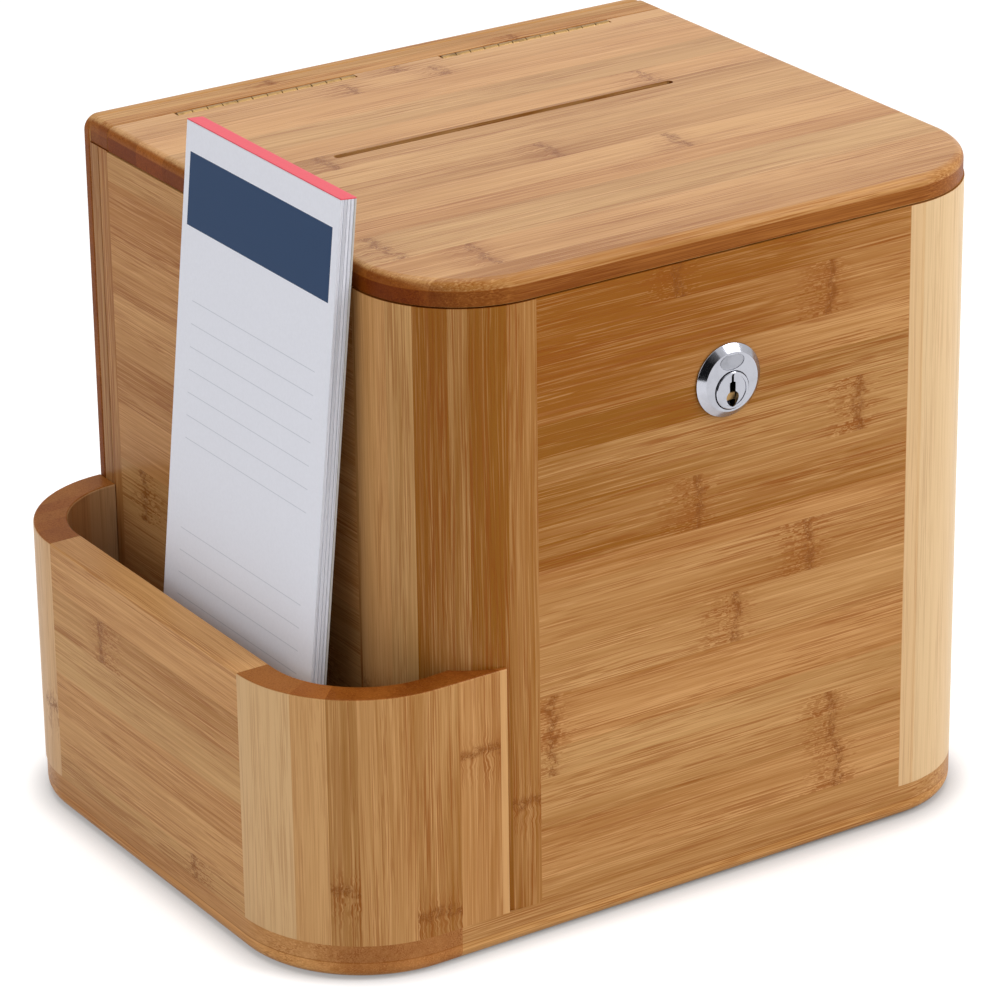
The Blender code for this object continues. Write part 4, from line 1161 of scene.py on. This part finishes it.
# The sheets' bundles: how far each falls short at one side, and the gap between them
BUNDLE_SLIPS = (0, 0.0003, 0.0001, 0.0004)
BUNDLE_GAP = 0.00012
EASED_CARD = 0.0001
EASED_GLUE = 0.00015
# Printing on the front, as heights up the pad and margins at its sides
HEADER_FOOT = 0.1958
HEADER_HEAD = 0.2190
HEADER_MARGIN = 0.0035
RULES_FOOT = 0.0100
RULE_PITCH = 0.0074
RULE_WIDTH = 0.00030
RULE_MARGIN = 0.0085
RULED_ROWS = ((0, 12.5), (15.5, 22.5))
# Repeats a metre of the sheets seen at the edges, through the pad and up it
SHEET_REPEATS = (7000, 8)


def pad_frame():
    """Foot of the pad's front face and the directions up its face and through its thickness."""
    front_low, back_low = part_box("pad_sheets")[0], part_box("pad_backing")[0]
    joint = next(joint for joint in frame["joints"] if joint["name"] == "pad_lift")
    up = Vector(joint["axis"]).normalized()
    through = Vector((up.z, 0, -up.x))
    return Vector((front_low.x, front_low.y, back_low.z + PAD_THICKNESS * up.x)), up, through


def fill_fibre(w, take):
    """Noise, as it is and as a mask."""
    fibre = w.noise(take["Place"], 900, 900, 900, detail=3)
    return {"Mask": w.step(fibre, 0.3, 0.7, 0, take["Strength"]), "Height": fibre}


def fibre_group():
    """Faint fibres of paper and card, as a mask and a height."""
    return shared_group(
        "paper fibre", {"Place": "Vector", "Strength": "Float"}, {"Mask": "Float", "Height": "Float"},
        fill_fibre)


def distance_along(w, x, z, way):
    """How far along a direction a point at X and Z lies."""
    return w.plus(w.times(x, way.x), w.times(z, way.z))


def inside(w, value, low, high):
    """1 where a value lies between two limits."""
    return w.times(w.math("GREATER_THAN", value, low), w.math("LESS_THAN", value, high))


def print_cards(w, coordinates, base):
    """Colour and bump of the cards: paper with a header, ruled lines and the sheets seen at its edges."""
    look = bpy.context.scene.pad_look
    foot, up, through = pad_frame()
    low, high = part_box("pad_sheets")
    width = high.y - low.y
    x, y, z = w.split(coordinates["Object"])
    x, across, z = w.minus(x, foot.x), w.minus(y, low.y), w.minus(z, foot.z)
    rise, depth = distance_along(w, x, z, up), distance_along(w, x, z, through)
    facing = w.split(coordinates["Normal"])
    front = w.step(distance_along(w, facing[0], facing[2], -through), 0.8, 0.9)

    header = w.times(
        inside(w, rise, HEADER_FOOT, HEADER_HEAD),
        inside(w, across, HEADER_MARGIN, width - HEADER_MARGIN * 0.85))
    pitch = w.math("FRACT", w.math("DIVIDE", w.minus(rise, RULES_FOOT), RULE_PITCH))
    line = w.times(
        w.math("LESS_THAN", pitch, RULE_WIDTH / RULE_PITCH),
        inside(w, across, RULE_MARGIN, width - RULE_MARGIN))
    field = w.plus(*(
        inside(w, rise, RULES_FOOT + RULE_PITCH * first, RULES_FOOT + RULE_PITCH * last)
        for first, last in RULED_ROWS))
    base = w.blend(w.times(front, w.times(line, field)), base, look.rule)
    base = w.blend(w.times(front, header), base, look.header)
    sheets = w.noise(w.join(w.times(depth, SHEET_REPEATS[0]), w.times(rise, SHEET_REPEATS[1]), 0))
    edge = w.times(w.minus(1, front), w.step(sheets, 0.42, 0.62))
    base = w.blend(w.times(edge, 0.55), base, [c * 0.38 for c in look.paper])
    return base, w.bump(w.times(edge, sheets), 0.00008)


def card_material(kind):
    """Material of the pad's paper, glue or board, by its name among the pad's colours."""
    made, w, shader, coordinates = new_material(kind)
    main = getattr(bpy.context.scene.pad_look, kind)
    fibre = w.group(fibre_group(), place=coordinates["Object"], strength=0.12)
    base = w.blend(fibre["Mask"], main, [c * 0.8 for c in main])
    if kind == "paper":
        base, relief = print_cards(w, coordinates, base)
    else:
        relief = w.bump(fibre["Height"], 0.00004)
    roughness = {"paper": 0.55, "glue": 0.45, "board": 0.85}[kind]
    w.feed_all(shader, {
        "Base Color": base, "Normal": relief, "Roughness": roughness, "Specular IOR Level": 0.15})
    return made


def slab(name, sides, front, back, low, high):
    """A slab of the pad between two sides, two depths and two heights of the pad's own frame."""
    foot, up, _ = pad_frame()
    piece = add_block(name, (front, sides[0], low), (back, sides[1], high))
    return placed(piece, rotation_euler=(0, math.atan2(up.x, up.z), 0), location=(foot.x, 0, foot.z))


class SUGGESTIONBOX_OT_pad(Operator):
    """Pad of cards: bundles of sheets, backing board and the glue along the head"""

    bl_idname = "suggestion_box.pad"
    bl_label = "Pad of Cards"

    def execute(self, context):
        low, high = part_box("pad_sheets")
        top = PAD_LENGTH - GLUE
        pitch = (PAD_THICKNESS - BACKING) / len(BUNDLE_SLIPS)
        sheets = None
        for k, slip in enumerate(BUNDLE_SLIPS):
            piece = slab(
                "card_sheets", (low.y, high.y - slip), pitch * k, pitch * (k + 1) - BUNDLE_GAP, 0, top)
            ease(piece, EASED_CARD, steps=1)
            if sheets:
                sheets.select_set(True)
                context.view_layer.objects.active = sheets
                bpy.ops.object.join()
            else:
                sheets = piece
        finish_piece(sheets, "pad", "paper", card_material("paper"), "pad_sheets")
        sides = (low.y, high.y)
        piece = slab("card_backing", sides, PAD_THICKNESS - BACKING, PAD_THICKNESS, 0, top)
        ease(piece, EASED_CARD, steps=1)
        finish_piece(piece, "pad", "backing_card", card_material("board"), "pad_backing")
        piece = slab("head_glue", sides, 0, PAD_THICKNESS, top, PAD_LENGTH)
        ease(piece, EASED_GLUE)
        finish_piece(piece, "pad", "pad_glue", card_material("glue"), "pad_glue_edge")
        return {"FINISHED"}


FLOOR_SIZE = 8
FLOOR_DROP = 0.0002
# How far from the box the painted contact shadow reaches over the floor
PAINTED_SHADOW_REACH = 0.010
FLAG_WIDTH, FLAG_HEIGHT = 2.2, 2.1
FLAG_PLACE = (-0.85, -1.3)
LIT_MIDDLE = Vector((0.01, 0, 0.1))
SENSOR_WIDTH = 36
FARTHEST_SEEN = 50


def add_plane(name, **changes):
    """A square that is scaled, turned or moved."""
    deselect()
    bpy.ops.mesh.primitive_plane_add(size=1)
    return placed(named(name), **changes)


def seen_directly(w):
    """1 where the camera, a reflection or a view through something sees the surface, and 0 for its light."""
    path = w.node("LightPath").outputs
    seen = w.greatest(path["Is Camera Ray"], path["Is Glossy Ray"])
    return w.greatest(seen, path["Is Transmission Ray"])


def lay_floor():
    """A pale floor that is seen white, with a painted contact shadow: ambient occlusion darkens its colour
    and its glow near the box.
    """
    made, w, shader, coordinates = new_material("floor")
    contact = w.node("AmbientOcclusion")
    w.feed(contact.inputs["Distance"], PAINTED_SHADOW_REACH)
    # Painted shade: ambient occlusion near the box darkens the floor's colour and glow as a contact shadow
    shade = w.step(contact.outputs["AO"], 0.35, 1, 0.5, 1, smooth=False)
    spot = coordinates["Object"]
    away = w.node("VectorMath", spot, operation="LENGTH").outputs["Value"]
    side = w.step(w.split(spot)[0], -0.20, 0.10, 0.58, 0.25)
    glow = w.times(w.plus(side, w.step(away, 0.5, 2, 0, 0.42)), shade)
    w.feed_all(shader, {
        "Base Color": w.blend(shade, (0, 0, 0), (0.88, 0.88, 0.88)), "Roughness": 0.9,
        "Specular IOR Level": 0, "Emission Color": (1, 1, 1),
        "Emission Strength": w.times(seen_directly(w), glow)})
    floor = add_plane("floor", scale=(FLOOR_SIZE, FLOOR_SIZE, 1), location=(0, 0, -FLOOR_DROP))
    dress(floor.data, made)


def hang_flag(look):
    """A black flag beside the camera, paler towards its top, that only reflections show."""
    made, w, shader, coordinates = new_material("black cloth")
    height = w.split(coordinates["Object"])[2]
    black = w.blend(w.step(height, 1, FLAG_HEIGHT), (0.015, 0.015, 0.016), (0.35, 0.34, 0.34))
    w.feed_all(shader, {"Base Color": black, "Specular IOR Level": 0})
    flag = add_plane(
        "black_flag", scale=(FLAG_WIDTH, FLAG_HEIGHT, 1), rotation_euler=(math.pi / 2, 0, -look.azimuth),
        location=(*FLAG_PLACE, FLAG_HEIGHT / 2))
    dress(flag.data, made)
    flag.visible_camera = flag.visible_diffuse = flag.visible_shadow = flag.visible_transmission = False


def light_room(scene, look):
    """A room that is seen white, with less light of its own, and three square lamps."""
    scene.world = bpy.data.worlds.new("room")
    scene.world.use_nodes = True
    w = Wiring(scene.world.node_tree)
    strength = w.math("MULTIPLY_ADD", seen_directly(w), 1 - look.world, look.world)
    w.feed_all(w.tree.nodes["Background"].inputs, {"Color": (1, 1, 1), "Strength": strength})
    for name, place, size, power in (
        ("key light", (1.15, -1.05, 1.25), 0.9, look.key),
        ("fill light", (-1.5, -0.6, 0.9), 1.2, look.fill),
        ("top light", (0.1, 0.25, 1.8), 1.2, look.top),
    ):
        lamp = bpy.data.lights.new(name, "AREA")
        lamp.size = size
        lamp.energy = power
        light = bpy.data.objects.new(name, lamp)
        light.location = place
        light.rotation_euler = (LIT_MIDDLE - Vector(place)).to_track_quat("-Z", "Y").to_euler()
        scene.collection.objects.link(light)


def set_camera(scene, look):
    """The camera, where the photograph was taken from."""
    camera = bpy.data.objects.new("camera", bpy.data.cameras.new("camera"))
    camera.data.lens = look.lens
    camera.data.sensor_width = SENSOR_WIDTH
    camera.data.clip_end = FARTHEST_SEEN
    turn = (
        Matrix.Rotation(-look.azimuth, 4, "Z") @ Matrix.Rotation(math.pi / 2 - look.elevation, 4, "X")
        @ Matrix.Rotation(look.roll, 4, "Z"))
    camera.matrix_world = Matrix.Translation(look.place) @ turn
    scene.collection.objects.link(camera)
    scene.camera = camera


class SUGGESTIONBOX_OT_stage(Operator):
    """Pale floor, soft lights, plain surroundings and the camera"""

    bl_idname = "suggestion_box.stage"
    bl_label = "Stage"

    def execute(self, context):
        look = context.scene.stage_look
        lay_floor()
        hang_flag(look)
        light_room(context.scene, look)
        set_camera(context.scene, look)
        context.scene.view_settings.view_transform = "Standard"
        return {"FINISHED"}


class SUGGESTIONBOX_PT_panel(Panel):
    """Sizes, finishes and pieces of the suggestion box"""

    bl_label = "Suggestion Box"
    bl_space_type = "VIEW_3D"
    bl_region_type = "UI"
    bl_category = "Box"

    def draw(self, context):
        for piece in PIECES:
            self.layout.operator(piece.bl_idname)
        for group in GROUPS:
            self.layout.label(text=group.__name__)
            values = getattr(context.scene, GROUPS[group])
            for name in group.__annotations__:
                self.layout.prop(values, name)


GROUPS = {
    BoxSizes: "box_sizes", BambooLook: "bamboo_look", MetalLook: "metal_look", PadLook: "pad_look",
    StageLook: "stage_look",
}
PIECES = (
    SUGGESTIONBOX_OT_base, SUGGESTIONBOX_OT_posts, SUGGESTIONBOX_OT_panels, SUGGESTIONBOX_OT_pocket,
    SUGGESTIONBOX_OT_lid, SUGGESTIONBOX_OT_hinges, SUGGESTIONBOX_OT_lock, SUGGESTIONBOX_OT_keeper,
    SUGGESTIONBOX_OT_pad, SUGGESTIONBOX_OT_stage,
)


def register():
    for kind in (*GROUPS, *PIECES, SUGGESTIONBOX_PT_panel):
        bpy.utils.register_class(kind)
    for group, name in GROUPS.items():
        setattr(bpy.types.Scene, name, PointerProperty(type=group))


def unregister():
    for name in GROUPS.values():
        delattr(bpy.types.Scene, name)
    for kind in reversed((*GROUPS, *PIECES, SUGGESTIONBOX_PT_panel)):
        bpy.utils.unregister_class(kind)


def main():
    """Builds every piece and the stage."""
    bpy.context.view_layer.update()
    register()
    for piece in PIECES:
        family, name = piece.bl_idname.split(".")
        getattr(getattr(bpy.ops, family), name)()
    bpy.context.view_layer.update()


if __name__ == "__main__":
    main()
